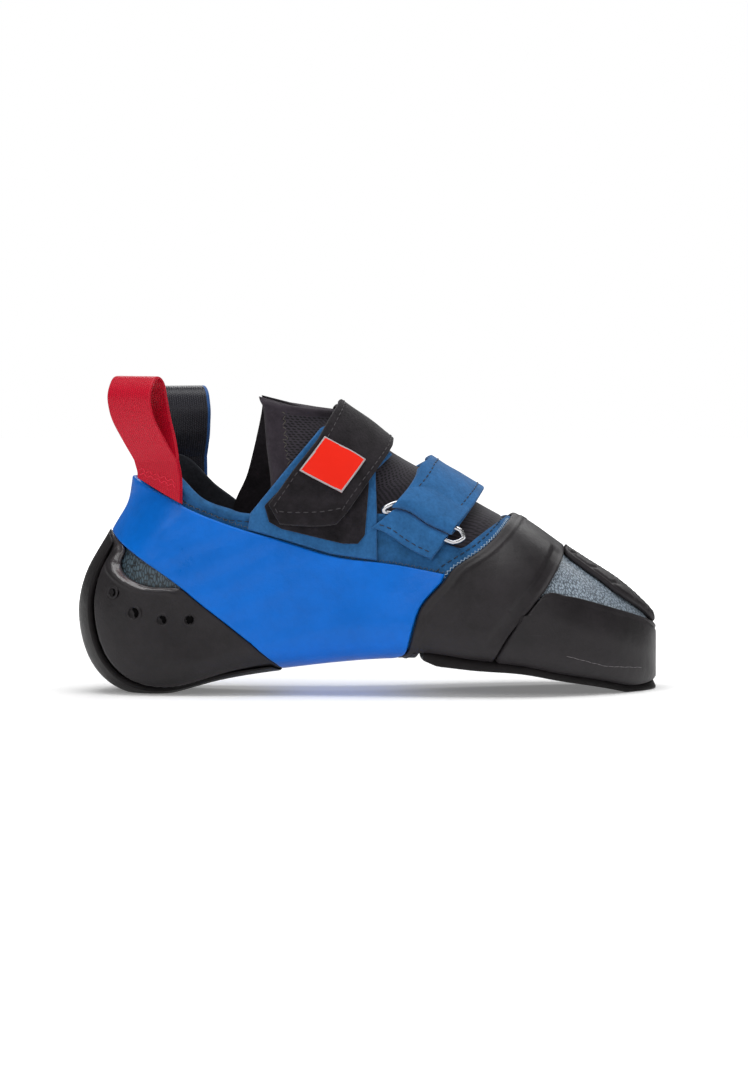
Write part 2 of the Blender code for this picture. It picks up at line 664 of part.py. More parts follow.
def make_band():
    top = resample(outline(BAND_TOP))
    rear = np.array([point for point in PANEL_REAR if point[1] < BAND_CORNER_HEIGHT])
    front = resample(outline(rear))
    region = loop_of(lateral(top), lateral(front[::-1]), front[1:], top[::-1][:-1])
    hole = both_sides(heel_opening())
    return layer("slingshot_band", [(inset(region, GAP), (hole,))], SEAT, SEAT + BAND_THICKNESS, BLUE_RUBBER)


def sole_back_station():
    """Station of the half sole's rear edge on the underside."""
    fine = np.linspace(9, TOE, 400)
    return float(np.interp(SOLE_BACK * LENGTH, section(fine)[0][:, 0], fine))


def make_panel():
    rear = resample(outline(PANEL_REAR))
    front = resample(outline(PANEL_FRONT))
    rear[-1, 1] = front[0, 1] = 1.0
    sole = sole_back_station() - 0.05
    foot = SOLE_REACH + 0.01
    front = front[front[:, 1] > foot + 0.02]
    low = seam(front[-1, 0], sole, foot)
    half = np.concatenate([front, low[1:-1]])
    region = loop_of(
        lateral(rear[::-1]), rear[1:],
        seam(rear[-1, 0], front[0, 0], 1.0)[1:-1],
        half, seam_across(sole, foot, -foot), lateral(half[::-1]),
        seam(front[0, 0], rear[-1, 0], -1.0)[1:-1],
    )
    return layer("forefoot_panel", [(region, ())], SEAT, SEAT + PANEL_THICKNESS, RUBBER)


def make_rand():
    top = resample(outline(RAND_TOP))
    top[-1, 0] = TOE
    rear = resample(outline(RAND_REAR)) + (2 * GAP / ROW_PITCH, 0)
    foot = SOLE_REACH + 0.01
    rear = rear[rear[:, 1] > foot + 0.02]
    low = seam(rear[-1, 0] + 0.02, TOE, foot)
    side = loop_of(rear, low, toe_row(foot, top[-1, 1])[1:], top[::-1][1:])
    regions = [(side, ()), (lateral(side)[::-1], ())]
    return layer("toe_rand", regions, SEAT, SEAT + RAND_THICKNESS, RUBBER)


def make_patch():
    side = resample(outline(PATCH_SIDE))
    side[0, 1] = 1.0
    side[:, 0] = np.maximum(side[:, 0], PATCH_START)
    tip = seam_across(side[-1, 0], side[-1, 1], 2 - side[-1, 1])
    region = inset(loop_of(side, tip, mirrored(side)[::-1][:-1]), 4 * GAP)
    return layer("toe_patch", [(region, ())], SEAT, SEAT + PATCH_THICKNESS, RUBBER)


def on_tread(station, around, lift):
    """Underside of the half sole: as wide as the rubber over its edge, and straight across the foot."""
    edge = smoothstep(np.abs(around) / SOLE_REACH)
    points = place(station, around, edge * (SEAT + RAND_THICKNESS))
    fine = np.linspace(12, TOE, 200)
    back = section(fine)[0]
    tread = np.interp(points[:, 0], back[:, 0], back[:, 1]) - SEAT - OUTSOLE_THICKNESS
    rear = SOLE_BACK * LENGTH
    bevel = OUTSOLE_THICKNESS * 0.6 * smoothstep(1 - (points[:, 0] - rear) / 0.008)
    points[:, 2] = np.maximum(tread + bevel, 0)
    return points


def make_outsole():
    start = sole_back_station()
    side = seam(start, TOE, SOLE_REACH)
    rear = seam_across(start, -SOLE_REACH, SOLE_REACH)
    region = loop_of(rear, side[1:-1], toe_row(SOLE_REACH, -SOLE_REACH), lateral(side[::-1])[1:-1])
    return layer("outsole", [(region, ())], SEAT, 0.0, RUBBER, on_tread)


def make_wing():
    loop = corners_outline(WING_CORNERS)
    loop[:, 1] = np.minimum(loop[:, 1], WING_TOP)
    region = lateral(loop_of(loop))
    return layer("strap_wing", [(region, ())], SEAT, SEAT + WING_THICKNESS, BLUE_STRAP)


def make_pad():
    loop = corners_outline(PAD_CORNERS)
    loop[:, 1] = np.minimum(loop[:, 1], PAD_TOP)
    region = lateral(loop_of(loop))
    under = 2 * SEAT + WING_THICKNESS
    return layer("loop_pad", [(region, ())], under, under + PAD_THICKNESS, BLACK_STRAP)


def strap_seat(station, around):
    """The main strap lies on the pad on the outer side and comes down to the tongue past the ridge."""
    past = np.where(np.asarray(around) > 0, 2 - np.asarray(around), -np.asarray(around))
    on_pad = 2 * SEAT + WING_THICKNESS + PAD_THICKNESS + FASTENER_GAP
    return on_pad + (SEAT - on_pad) * smoothstep((past - PAD_TOP - 0.02) / 0.22)


def make_main_strap():
    rear = resample(outline(MAIN_STRAP_REAR))
    front = resample(outline(MAIN_STRAP_FRONT))
    rear[-1, 1] = front[-1, 1] = 1.0
    region = loop_of(mirrored(rear), rear[::-1][1:], front, mirrored(front)[::-1][1:])
    return layer(
        "main_strap", [(region, ())],
        strap_seat, lambda s, a: strap_seat(s, a) + MAIN_STRAP_THICKNESS, BLACK_STRAP,
    )


def make_badge():
    region = mirrored(corners_outline(BADGE_CORNERS))
    on_strap = MAIN_STRAP_THICKNESS + SEAT + SAG_OUTSIDE
    return layer(
        "badge", [(region, ())],
        lambda s, a: strap_seat(s, a) + on_strap,
        lambda s, a: strap_seat(s, a) + on_strap + BADGE_THICKNESS, RED_SATIN,
    )


def beside_throat(station, distance, lift):
    """Points by their distance from the lateral throat edge, measured up and over the ridge."""
    station = np.asarray(station, float)
    edge = np.interp(station, collar_lateral[:, 0], -collar_lateral[:, 1])
    near = on_last(station, -edge - 0.02) - on_last(station, -edge)
    share = 0.02 / np.linalg.norm(near, axis=-1)
    return place(station, -(edge + np.asarray(distance, float) * share), lift)


def strip(name, span, path, thickness, stations, paint_of):
    """A strap of even thickness that follows a path of distances and lifts across a span of stations."""
    path = np.asarray(path, float)
    run = np.gradient(path, axis=0)
    run /= np.linalg.norm(run, axis=1)[:, None]
    side = np.stack([-run[:, 1], run[:, 0]], -1) * thickness / 2
    count = len(path)
    rows = np.linspace(*span, stations)
    vertices = []
    for row in rows:
        for edge in (path + side, path - side):
            vertices += [*beside_throat(np.full(count, row), edge[:, 0], edge[:, 1])]
    faces = []
    ring = 2 * count
    for k in range(stations):
        start = k * ring
        if k < stations - 1:
            for i in range(count - 1):
                faces.append((start + i, start + i + 1, start + ring + i + 1, start + ring + i))
                j = start + count + i
                faces.append((j + 1, j, j + ring, j + ring + 1))
            for i in (0, count - 1):
                faces.append((start + i, start + ring + i, start + ring + count + i, start + count + i))
    for start in (0, (stations - 1) * ring):
        for i in range(count - 1):
            faces.append((start + i, start + i + 1, start + count + i + 1, start + count + i))
    return finish(name, vertices, faces, paint_of)


def turn_round(centre, lift, radius, steps):
    """Points of a half turn round a bar, from under it to over it, on the side away from the ridge."""
    angle = np.linspace(-math.pi / 2, -3 * math.pi / 2, steps)
    return [(centre + radius * math.cos(a), lift + radius * math.sin(a)) for a in angle]


def top_bar_lift():
    return FRONT_STRAP_LIFT + FRONT_STRAP_THICKNESS + GAP + RING_WIRE / 2


def low_bar_lift():
    return SEAT + GAP + TAB_THICKNESS + RING_WIRE / 2


def make_front_strap():
    low = FRONT_STRAP_LIFT + FRONT_STRAP_THICKNESS / 2
    high = low + FRONT_STRAP_THICKNESS + GAP
    radius = RING_WIRE / 2 + SEAT + FRONT_STRAP_THICKNESS / 2
    settle = RING_TOP_BAR + 0.011
    there = [(d, low) for d in np.linspace(FRONT_STRAP_ROOT, RING_TOP_BAR + 0.004, 15)]
    back = [(d, high) for d in np.linspace(settle, FRONT_STRAP_TIP, 10)]
    path = there + turn_round(RING_TOP_BAR, top_bar_lift(), radius, 8) + back
    return strip("front_strap", FRONT_STRAP_SPAN, path, FRONT_STRAP_THICKNESS, 6, BLUE_STRAP)


def make_ring_tab():
    low = SEAT + TAB_THICKNESS / 2
    high = low + TAB_THICKNESS + GAP
    radius = RING_WIRE / 2 + SEAT + TAB_THICKNESS / 2
    foot = RING_LOW_BAR - TAB_HEIGHT
    settle = RING_LOW_BAR - 0.0045
    turn = [(2 * RING_LOW_BAR - d, z) for d, z in turn_round(RING_LOW_BAR, low_bar_lift(), radius, 8)]
    there = [(d, low) for d in np.linspace(foot, RING_LOW_BAR - 0.002, 3)]
    back = [(d, high) for d in np.linspace(settle, foot, 3)]
    return strip("ring_tab", TAB_SPAN, there + turn + back, TAB_THICKNESS, 5, BLUE_STRAP)


def tube(name, points, radius, sides, paint_of):
    """A closed round wire along a closed path."""
    points = np.asarray(points)
    tangent = np.roll(points, -1, axis=0) - np.roll(points, 1, axis=0)
    tangent /= np.linalg.norm(tangent, axis=1)[:, None]
    outward = points - points.mean(0)
    outward -= tangent * (outward * tangent).sum(1)[:, None]
    outward /= np.linalg.norm(outward, axis=1)[:, None]
    third = np.cross(tangent, outward)
    angle = np.linspace(0, 2 * math.pi, sides, endpoint=False)
    rings = (
        points[:, None]
        + radius * np.cos(angle)[None, :, None] * outward[:, None]
        + radius * np.sin(angle)[None, :, None] * third[:, None]
    )
    count = len(points)
    faces = []
    for i in range(count):
        for j in range(sides):
            k = (j + 1) % sides
            n = (i + 1) % count
            faces.append((i * sides + j, i * sides + k, n * sides + k, n * sides + j))
    return finish(name, list(rings.reshape(-1, 3)), faces, paint_of)


def make_ring():
    along = np.linspace(*RING_SPAN, 10)
    bend = np.array([0.2, 0.5, 0.8])
    rise = RING_TOP_BAR - RING_LOW_BAR
    lift_rise = top_bar_lift() - low_bar_lift()
    bulge = 0.35 * np.sin(bend * math.pi)
    stations = [*along, *(RING_SPAN[1] + bulge), *along[::-1], *(RING_SPAN[0] - bulge)]
    share = [*np.ones(10), *(1 - bend), *np.zeros(10), *bend]
    share = np.array(share)
    points = beside_throat(stations, RING_LOW_BAR + rise * share, low_bar_lift() + lift_rise * share)
    return tube("ring", points, RING_WIRE / 2, 8, STEEL)


def make_pull_loop(name, side, x, top, lean, paint_of):
    """Webbing doubled below its seam and opened above it into a drop, swept over its width."""
    along = np.array([math.cos(LOOP_TURN), side * math.sin(LOOP_TURN), 0.0])
    out = np.array([-math.sin(LOOP_TURN), side * math.cos(LOOP_TURN), 0.0])
    spread = np.linspace(-LOOP_WIDTH / 2, LOOP_WIDTH / 2, 7)
    heights = np.linspace(LOOP_FOOT, LOOP_SEAM_TOP, 5)
    seat_x = (x + spread[:, None] + 0 * heights).ravel()
    seat_z = (heights + 0 * spread[:, None]).ravel()
    seat = locate(seat_x, seat_z)
    surface = place(seat[:, 0], seat[:, 1] * side, np.full(len(seat), SEAT + BAND_THICKNESS + GAP))
    reach = (surface @ out).max() + LOOP_THICKNESS
    middle = out * reach
    middle = middle + along * ((x - middle[0]) / along[0])
    tall = top - LOOP_SEAM_TOP - LOOP_THICKNESS / 2
    turn = np.linspace(0, 2 * math.pi, 181)
    drop = np.stack([
        LOOP_DEPTH / 1.54 * np.sin(turn) * np.sin(turn / 2),
        LOOP_SEAM_TOP + tall * (1 - np.cos(turn)) / 2,
    ], -1)
    open_from = int(np.argmax(drop[:, 0] > LOOP_THICKNESS / 2))
    drop = drop[open_from:-open_from]
    pick = np.round(np.linspace(0, len(drop) - 1, 25)).astype(int)
    run = np.gradient(drop, axis=0)
    run /= np.linalg.norm(run, axis=1)[:, None]
    away = np.stack([run[:, 1], -run[:, 0]], -1) * LOOP_THICKNESS / 2
    outer = (drop + away)[pick]
    inner = (drop - away)[pick]
    inner[0, 0] = inner[-1, 0] = 0.0
    inner[-1, 1] = inner[0, 1]
    tail = [(LOOP_THICKNESS, LOOP_FOOT), (0.0, LOOP_FOOT), (-LOOP_THICKNESS, LOOP_FOOT)]
    profile = np.concatenate([outer, inner, tail])
    count = len(outer)
    vertices = []
    for shift in (-LOOP_WIDTH / 2, LOOP_WIDTH / 2):
        for depth, height in profile:
            point = middle + along * shift + out * depth
            point = point + np.array([-lean * max(height - LOOP_SEAM_TOP, 0), 0, 0])
            point[2] = height
            vertices.append(point)
    size = len(profile)
    low = 2 * count
    faces = []
    for start in (0, size):
        for i in range(count - 1):
            faces.append((start + i, start + i + 1, start + count + i + 1, start + count + i))
        faces.append((start, start + low, start + low + 1, start + count))
        faces.append((start + 2 * count - 1, start + low + 1, start + low + 2, start + count - 1))
    for i in range(count - 1):
        faces.append((i, i + 1, size + i + 1, size + i))
        faces.append((count + i + 1, count + i, size + count + i, size + count + i + 1))
    faces.append((0, low, size + low, size))
    faces.append((low + 2, count - 1, size + count - 1, size + low + 2))
    faces.append((low, low + 1, size + low + 1, size + low))
    faces.append((low + 1, low + 2, size + low + 2, size + low + 1))
    return finish(name, vertices, faces, paint_of)


def make_shoe():
    """All the pieces, then one empty that holds them with the box's bottom centre at the origin."""
    pieces = [
        make_upper(), make_tongue(), make_insole(), make_heel_cup(), make_heel_sole(), make_band(),
        make_panel(), make_rand(), make_patch(), make_outsole(), make_wing(), make_pad(),
        make_main_strap(), make_badge(), make_front_strap(), make_ring_tab(), make_ring(),
        make_pull_loop("pull_loop_red", -1, RED_LOOP_AT * LENGTH, RED_LOOP_TOP, RED_LOOP_LEAN, RED_WEBBING),
        make_pull_loop("pull_loop_black", 1, BLACK_LOOP_AT * LENGTH, BLACK_LOOP_TOP, BLACK_LOOP_LEAN, BLACK_WEBBING),
    ]
    points = [np.array([vertex.co for vertex in piece.data.vertices]) for piece in pieces]
    corners = np.array([[p.min(0), p.max(0)] for p in points])
    low = corners[:, 0].min(0)
    high = corners[:, 1].max(0)
    holder = bpy.data.objects.new("shoe", None)
    bpy.context.scene.collection.objects.link(holder)
    holder.location = (-(low[0] + high[0]) / 2, -(low[1] + high[1]) / 2, -low[2])
    for piece in pieces:
        piece.parent = holder


make_shoe()
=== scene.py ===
# %% [markdown]
# A climbing shoe, dressed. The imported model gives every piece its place. This lesson makes each visible
# piece again as a fine surface, in the finish of its rubber, suede, mesh or webbing.

# %% Load the frame
import math

import bmesh
import bpy
import numpy as np
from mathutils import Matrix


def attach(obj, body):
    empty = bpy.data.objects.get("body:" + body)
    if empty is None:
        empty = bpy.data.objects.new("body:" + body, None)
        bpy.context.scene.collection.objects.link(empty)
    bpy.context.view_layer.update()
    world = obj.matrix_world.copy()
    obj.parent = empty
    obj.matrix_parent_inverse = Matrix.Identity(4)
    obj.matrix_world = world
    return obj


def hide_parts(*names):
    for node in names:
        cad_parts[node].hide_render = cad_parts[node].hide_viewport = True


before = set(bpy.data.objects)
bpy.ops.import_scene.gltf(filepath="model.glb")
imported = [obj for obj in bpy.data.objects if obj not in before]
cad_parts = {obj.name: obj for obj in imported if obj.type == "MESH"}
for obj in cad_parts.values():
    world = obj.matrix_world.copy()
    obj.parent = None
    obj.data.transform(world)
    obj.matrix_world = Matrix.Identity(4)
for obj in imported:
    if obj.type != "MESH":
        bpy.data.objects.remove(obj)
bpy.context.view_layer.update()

# %% [markdown]
# A colour is picked as the sRGB hex value that a paint program shows. Blender's shaders count light, so one
# function turns it to linear numbers. Another adds one node with its settings and links, and nothing more.

# %% Colour and node helpers


def linear(code):
    """sRGB to linear: the low end is a straight line over 12.92, the rest a power of 2.4."""
    srgb = np.array([int(code[i:i + 2], 16) for i in (1, 3, 5)]) / 255
    value = np.where(srgb <= 0.04045, srgb / 12.92, ((srgb + 0.055) / 1.055) ** 2.4)
    return (*[float(v) for v in value], 1.0)


def add_node(tree, kind, links=(), values=(), **settings):
    """One node. links is (socket, output of another node), values is (socket, number or colour)."""
    node = tree.nodes.new(kind)
    for key, value in settings.items():
        setattr(node, key, value)
    for socket, value in values:
        node.inputs[socket].default_value = value
    for socket, output in links:
        tree.links.new(output, node.inputs[socket])
    return node


def new_material(name, colour, roughness, **values):
    """A Principled material with its even values on the shader's own sockets, and its node tree."""
    material = bpy.data.materials.new(name)
    material.use_nodes = True
    shader = material.node_tree.nodes["Principled BSDF"]
    values.update(Base_Color=linear(colour), Roughness=roughness)
    for key, value in values.items():
        shader.inputs[key.replace("_", " ")].default_value = value
    return material, material.node_tree


def plain(name, colour, roughness, **values):
    """A material of one even finish."""
    return new_material(name, colour, roughness, **values)[0]


def drive(tree, **outputs):
    """Link outputs to the shader's sockets of the same names."""
    for key, output in outputs.items():
        tree.links.new(output, tree.nodes["Principled BSDF"].inputs[key.replace("_", " ")])


# %% [markdown]
# The photo is a product shot from far away with a long lens, a few degrees above the floor. One pixel is
# 0.416 mm at the shoe, so the lens is chosen to make the frame's 1080 pixels span 449 mm at the shoe.

# %% Camera
PIXEL = 0.000416
PHOTO_MIDDLE = (374, 540)
SHOE_MIDDLE = 368.5
FLOOR_LINE = 690.5
AIM = np.array((PHOTO_MIDDLE[0] - SHOE_MIDDLE, 0, FLOOR_LINE - PHOTO_MIDDLE[1])) * PIXEL
ELEVATION = math.radians(3.0)
DISTANCE = 2.4

camera_data = bpy.data.cameras.new("camera")
camera_data.sensor_width = 36
camera_data.lens = camera_data.sensor_width * DISTANCE / (2 * PHOTO_MIDDLE[1] * PIXEL)
camera_data.clip_start = 0.05
camera = bpy.data.objects.new("camera", camera_data)
camera.location = AIM + DISTANCE * np.array((0, -math.cos(ELEVATION), math.sin(ELEVATION)))
camera.rotation_euler = (math.pi / 2 - ELEVATION, 0, 0)
bpy.context.scene.collection.objects.link(camera)
bpy.context.scene.camera = camera
print("lens in mm", round(camera_data.lens, 1))

# %% [markdown]
# A white sweep under soft light: one broad panel overhead, a lower one at the front left that gives the
# rubber its long highlights, and a narrow one behind that draws the top edges. The paper has a painted
# glow: it emits light, weakly near the shoe and fully on the sweep's far part, so the contact shadow stays.

# %% Floor and light


def floor_sheet(half=3.0):
    """A flat square of two by two points."""
    mesh = bpy.data.meshes.new("floor")
    corners = [(x * half, y * half, 0) for x, y in ((-1, -1), (1, -1), (1, 1), (-1, 1))]
    mesh.from_pydata(corners, [], [(0, 1, 2, 3)])
    piece = bpy.data.objects.new("floor", mesh)
    bpy.context.scene.collection.objects.link(piece)
    return piece


def soft_light(name, place_at, look_at, size, power):
    """A white rectangle lamp turned to look at a point."""
    data = bpy.data.lights.new(name, "AREA")
    data.shape = "RECTANGLE"
    data.size, data.size_y = size
    data.energy = power
    lamp = bpy.data.objects.new(name, data)
    away = np.array(place_at, float) - np.array(look_at, float)
    away /= np.linalg.norm(away)
    lamp.location = place_at
    lamp.rotation_euler = (math.acos(away[2]), 0, math.atan2(away[1], away[0]) + math.pi / 2)
    bpy.context.scene.collection.objects.link(lamp)


# Painted glow: the paper's emission rises from 0.18 near the shoe to 1 on the sweep's far part.
paper, sheet_tree = new_material("white sweep paper with painted glow", "#f7f7f7", 0.9, Emission_Color=linear("#ffffff"))
here = add_node(sheet_tree, "ShaderNodeTexCoord").outputs["Object"]
away = add_node(sheet_tree, "ShaderNodeVectorMath", [(0, here)], operation="LENGTH")
glow = add_node(sheet_tree, "ShaderNodeMapRange", [("Value", away.outputs["Value"])],
                [("From Min", 0.3), ("From Max", 0.8), ("To Min", 0.18), ("To Max", 1.0)],
                interpolation_type="SMOOTHSTEP")
drive(sheet_tree, Emission_Strength=glow.outputs["Result"])
floor = floor_sheet()
floor.data.materials.append(paper)

soft_light("overhead panel", (0.0, -0.15, 1.3), (0, 0, 0.05), (1.3, 1.0), 16)
soft_light("front panel", (-0.6, -1.2, 0.8), (0, 0, 0.05), (0.8, 0.6), 4.2)
soft_light("front right panel", (0.9, -1.1, 0.5), (0.02, 0, 0.05), (0.5, 0.5), 1.5)
soft_light("back panel", (0.2, 1.1, 0.8), (0, 0, 0.08), (1.2, 0.4), 5)
world = bpy.data.worlds.new("studio")
world.use_nodes = True
sky = world.node_tree
seen = add_node(sky, "ShaderNodeLightPath")
strength = add_node(sky, "ShaderNodeMapRange", [("Value", seen.outputs["Is Camera Ray"])],
                    [("To Min", 0.13), ("To Max", 1.0)])
sky.links.new(strength.outputs["Result"], sky.nodes["Background"].inputs["Strength"])
sky.nodes["Background"].inputs["Color"].default_value = linear("#ffffff")
bpy.context.scene.world = world
bpy.context.scene.view_settings.view_transform = "Standard"

# %% [markdown]
# A shoe is built over a last, a solid form of the foot. Here the last is a formula too: rounded sections
# stand on a line from the heel, along the arch, to the toe. A point of it is named by its station along the
# shoe (0 at the ankle's top, 22 at the toe's tip) and its way around (0 underneath, 1 on the ridge of the
# foot, minus on the little toe's side). Every piece below is a patch of it, lifted off along the normal.

# %% Sections of the last
LENGTH = 0.240
BALL_WIDTH = 0.085
HEEL_HEIGHT = 0.099
INSTEP_HEIGHT = 0.1175
STAND = np.array((0.000507, -0.002561, 0.0))
# Back x and z, ridge x and z, low and top half width, low and top rounding, squareness
SECTIONS = (
    (-0.390, 1.333, -0.058, 1.000, 0.300, 0.300, 0.32, 0.40, 2.0),
    (-0.394, 1.162, -0.033, 0.966, 0.295, 0.300, 0.31, 0.38, 2.0),
    (-0.397, 1.000, -0.004, 0.928, 0.290, 0.305, 0.29, 0.36, 2.0),
    (-0.406, 0.808, 0.021, 0.888, 0.300, 0.312, 0.28, 0.34, 2.0),
    (-0.433, 0.682, 0.042, 0.856, 0.315, 0.318, 0.25, 0.32, 2.0),
    (-0.470, 0.485, 0.062, 0.831, 0.328, 0.322, 0.215, 0.30, 2.0),
    (-0.482, 0.323, 0.081, 0.809, 0.333, 0.325, 0.20, 0.29, 2.0),
    (-0.465, 0.157, 0.098, 0.790, 0.333, 0.328, 0.18, 0.285, 2.1),
    (-0.421, 0.056, 0.112, 0.771, 0.331, 0.332, 0.155, 0.285, 2.2),
    (-0.358, 0.041, 0.127, 0.752, 0.328, 0.337, 0.15, 0.29, 2.3),
    (-0.275, 0.084, 0.142, 0.735, 0.325, 0.342, 0.17, 0.31, 2.4),
    (-0.167, 0.121, 0.158, 0.715, 0.330, 0.352, 0.22, 0.35, 2.5),
    (-0.050, 0.155, 0.179, 0.689, 0.360, 0.372, 0.28, 0.43, 2.8),
    (0.075, 0.172, 0.206, 0.657, 0.432, 0.432, 0.33, 0.55, 3.4),
    (0.175, 0.150, 0.237, 0.623, 0.487, 0.485, 0.36, 0.64, 4.4),
    (0.254, 0.135, 0.275, 0.580, 0.500, 0.500, 0.36, 0.64, 5.5),
    (0.317, 0.106, 0.325, 0.507, 0.478, 0.478, 0.37, 0.63, 6.0),
    (0.371, 0.081, 0.375, 0.439, 0.425, 0.425, 0.38, 0.62, 6.0),
    (0.417, 0.057, 0.419, 0.381, 0.353, 0.353, 0.39, 0.61, 6.0),
    (0.450, 0.037, 0.450, 0.330, 0.270, 0.270, 0.40, 0.60, 6.0),
    (0.471, 0.035, 0.471, 0.289, 0.188, 0.188, 0.41, 0.59, 5.5),
    (0.4835, 0.035, 0.4835, 0.260, 0.100, 0.100, 0.42, 0.58, 5.0),
    (0.489, 0.037, 0.489, 0.243, 0.000, 0.000, 0.42, 0.58, 4.5),
)
TOE = len(SECTIONS) - 1
CENTRE_LINE = (0.0, 0.0, -0.012, -0.030, -0.045, -0.050, -0.035, 0.005, 0.055, 0.125, 0.205)


def spline(rows, at):
    """Natural cubic spline: curvature at the rows solves a tridiagonal system, then cubics join them."""
    rows = np.asarray(rows, float)
    rows = rows[:, None] if rows.ndim == 1 else rows
    count = len(rows)
    system = np.eye(count)
    inner = np.arange(1, count - 1)
    system[inner, inner - 1] = system[inner, inner + 1] = 1
    system[inner, inner] = 4
    right = np.zeros_like(rows)
    right[1:-1] = 6 * (rows[:-2] - 2 * rows[1:-1] + rows[2:])
    bend = np.linalg.solve(system, right)
    at = np.clip(np.asarray(at, float), 0, count - 1)
    i = np.minimum(at.astype(int), count - 2)
    t = (at - i)[..., None]
    low = (1 - t) * rows[i] + ((1 - t) ** 3 - (1 - t)) * bend[i] / 6
    return low + t * rows[i + 1] + (t ** 3 - t) * bend[i + 1] / 6


def section(station):
    """Back point, ridge point, height, half widths, rounding lengths and squareness at each station."""
    row = spline(SECTIONS, station)
    back = np.stack([row[..., 0] * LENGTH, row[..., 1] * HEEL_HEIGHT], -1)
    ridge = np.stack([row[..., 2] * LENGTH, row[..., 3] * INSTEP_HEIGHT], -1)
    tall = np.linalg.norm(ridge - back, axis=-1)
    half = np.maximum(row[..., 4:6], 0) * BALL_WIDTH
    low = row[..., 6] * tall
    top = np.minimum(row[..., 7] * tall, tall - low)
    return back, ridge, tall, half, low, top, row[..., 8]


def split(half, low, top, tall):
    """Shares of the way around where the lower rounding ends and the upper rounding starts."""
    low_arc = math.pi / 2 * np.sqrt((half[..., 0] ** 2 + low ** 2) / 2)
    top_arc = math.pi / 2 * np.sqrt((half[..., 1] ** 2 + top ** 2) / 2)
    whole = low_arc + top_arc + (tall - low - top)
    return low_arc / whole, 1 - top_arc / whole


def on_last(station, around):
    """Points of the last: each section is a superellipse below, a straight wall and an ellipse above."""
    around = (np.asarray(around, float) + 1) % 2 - 1
    back, ridge, tall, half, low, top, square = section(station)
    a, b = split(half, low, top, tall)
    share = np.abs(around)
    bottom = np.clip(share / a, 0, 1) * math.pi / 2
    crown = np.clip((1 - share) / (1 - b), 0, 1) * math.pi / 2
    flat = np.clip((share - a) / np.maximum(b - a, 1e-6), 0, 1)
    up = low * (1 - np.cos(bottom) ** (2 / square)) + flat * (tall - low - top)
    up = np.where(share > b, tall - top * (1 - np.cos(crown)), up)
    wide = np.where(share < a, np.sin(bottom) ** (2 / square), np.where(share > b, np.sin(crown), 1.0))
    reach = half[..., 0] + (half[..., 1] - half[..., 0]) * up / tall
    side = back + (ridge - back) * (up / tall)[..., None]
    middle = spline(CENTRE_LINE, (side[..., 0] / LENGTH + 0.5) * 10)[..., 0] * BALL_WIDTH
    return np.stack([side[..., 0], middle + np.sign(around) * wide * reach, side[..., 1]], -1)


def unit(vectors):
    """The same directions with length 1."""
    return vectors / np.linalg.norm(vectors, axis=-1, keepdims=True)


def normals(station, around):
    """Outward unit normals: the cross product of small steps across and along the last."""
    station = np.clip(np.asarray(station, float), 0.03, TOE - 0.03)
    around = np.asarray(around, float)
    along = on_last(station + 0.02, around) - on_last(station - 0.02, around)
    across = on_last(station, around + 0.006) - on_last(station, around - 0.006)
    return unit(np.cross(across, along))


def place(station, around, lift):
    """A point of the last plus its normal times the lift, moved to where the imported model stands."""
    station, around = np.broadcast_arrays(np.asarray(station, float), np.asarray(around, float))
    out = normals(station, around)
    tip = station > TOE - 1e-6
    out[tip] += normals(station, -around)[tip]
    out[tip, 1] = 0
    out[tip] = unit(out[tip])
    lift = np.broadcast_to(np.asarray(lift, float), station.shape)
    return on_last(station, around) + out * lift[..., None] + STAND


print("last runs over", TOE, "stations")

# %% [markdown]
# A pattern cutter draws on the side view of the last. The same tables of x and z, as shares of the length
# and of the heel's height, are turned into stations and ways around by looking up which section line
# passes through each point.

# %% From side view to the last
ROW_PITCH = 0.008
AROUND_PITCH = 0.090


def locate(x, z):
    """Station and way around, without its sign, of places given in side view.

    The sign of the turn from a section's line to the point changes where the line passes through it.
    """
    fine = np.linspace(0, TOE, 1761)
    back, ridge = section(fine)[:2]
    spot = np.stack([x, z], -1)[:, None, :]
    to = spot - back
    line = ridge - back
    turn = to[..., 0] * line[:, 1] - to[..., 1] * line[:, 0]
    change = np.diff(np.sign(turn), axis=1) != 0
    i = np.where(change.any(1), change.argmax(1), np.abs(turn).argmin(1))
    i = np.minimum(i, len(fine) - 2)
    row = np.arange(len(turn))
    here, there = turn[row, i], turn[row, i + 1]
    t = np.where(here != there, here / np.where(here == there, 1, here - there), 0)
    station = fine[i] + (fine[i + 1] - fine[i]) * np.clip(t, 0, 1)
    back, ridge, tall, half, low, top, square = section(station)
    a, b = split(half, low, top, tall)
    up = np.sum((spot[:, 0] - back) * (ridge - back), -1) / tall
    bottom = np.arccos(np.clip(1 - up / low, 0, 1) ** (square / 2))
    crown = np.arccos(np.clip(1 - (tall - up) / top, 0, 1))
    around = a + (b - a) * np.clip((up - low) / np.maximum(tall - low - top, 1e-9), 0, 1)
    around = np.where(up < low, a * bottom / (math.pi / 2), around)
    around = np.where(tall - up < top, 1 - (1 - b) * crown / (math.pi / 2), around)
    return np.stack([station, np.clip(around, 0, 1)], -1)


def run_length(points):
    """How far along a line each of its points stands, from 0."""
    return np.concatenate([[0], np.cumsum(np.linalg.norm(np.diff(points, axis=0), axis=1))])


def read_at(points, at, gone):
    """Every column of a line's points, read at places along it."""
    return np.stack([np.interp(at, gone, column) for column in np.asarray(points, float).T], -1)


def outline(points, steps=12):
    """A smooth curve through side view shares, as stations and ways around."""
    curve = spline(points, np.linspace(0, len(points) - 1, (len(points) - 1) * steps + 1))
    return locate(curve[:, 0] * LENGTH, curve[:, 1] * HEEL_HEIGHT)


def straight(points, steps=12):
    """The same for a run of straight sides."""
    knots = np.arange(len(points))
    x, z = read_at(points, np.linspace(0, knots[-1], knots[-1] * steps + 1), knots).T
    return locate(x * LENGTH, z * HEEL_HEIGHT)


def lateral(curve):
    """The same curve on the little toe's side."""
    return curve * (1, -1)


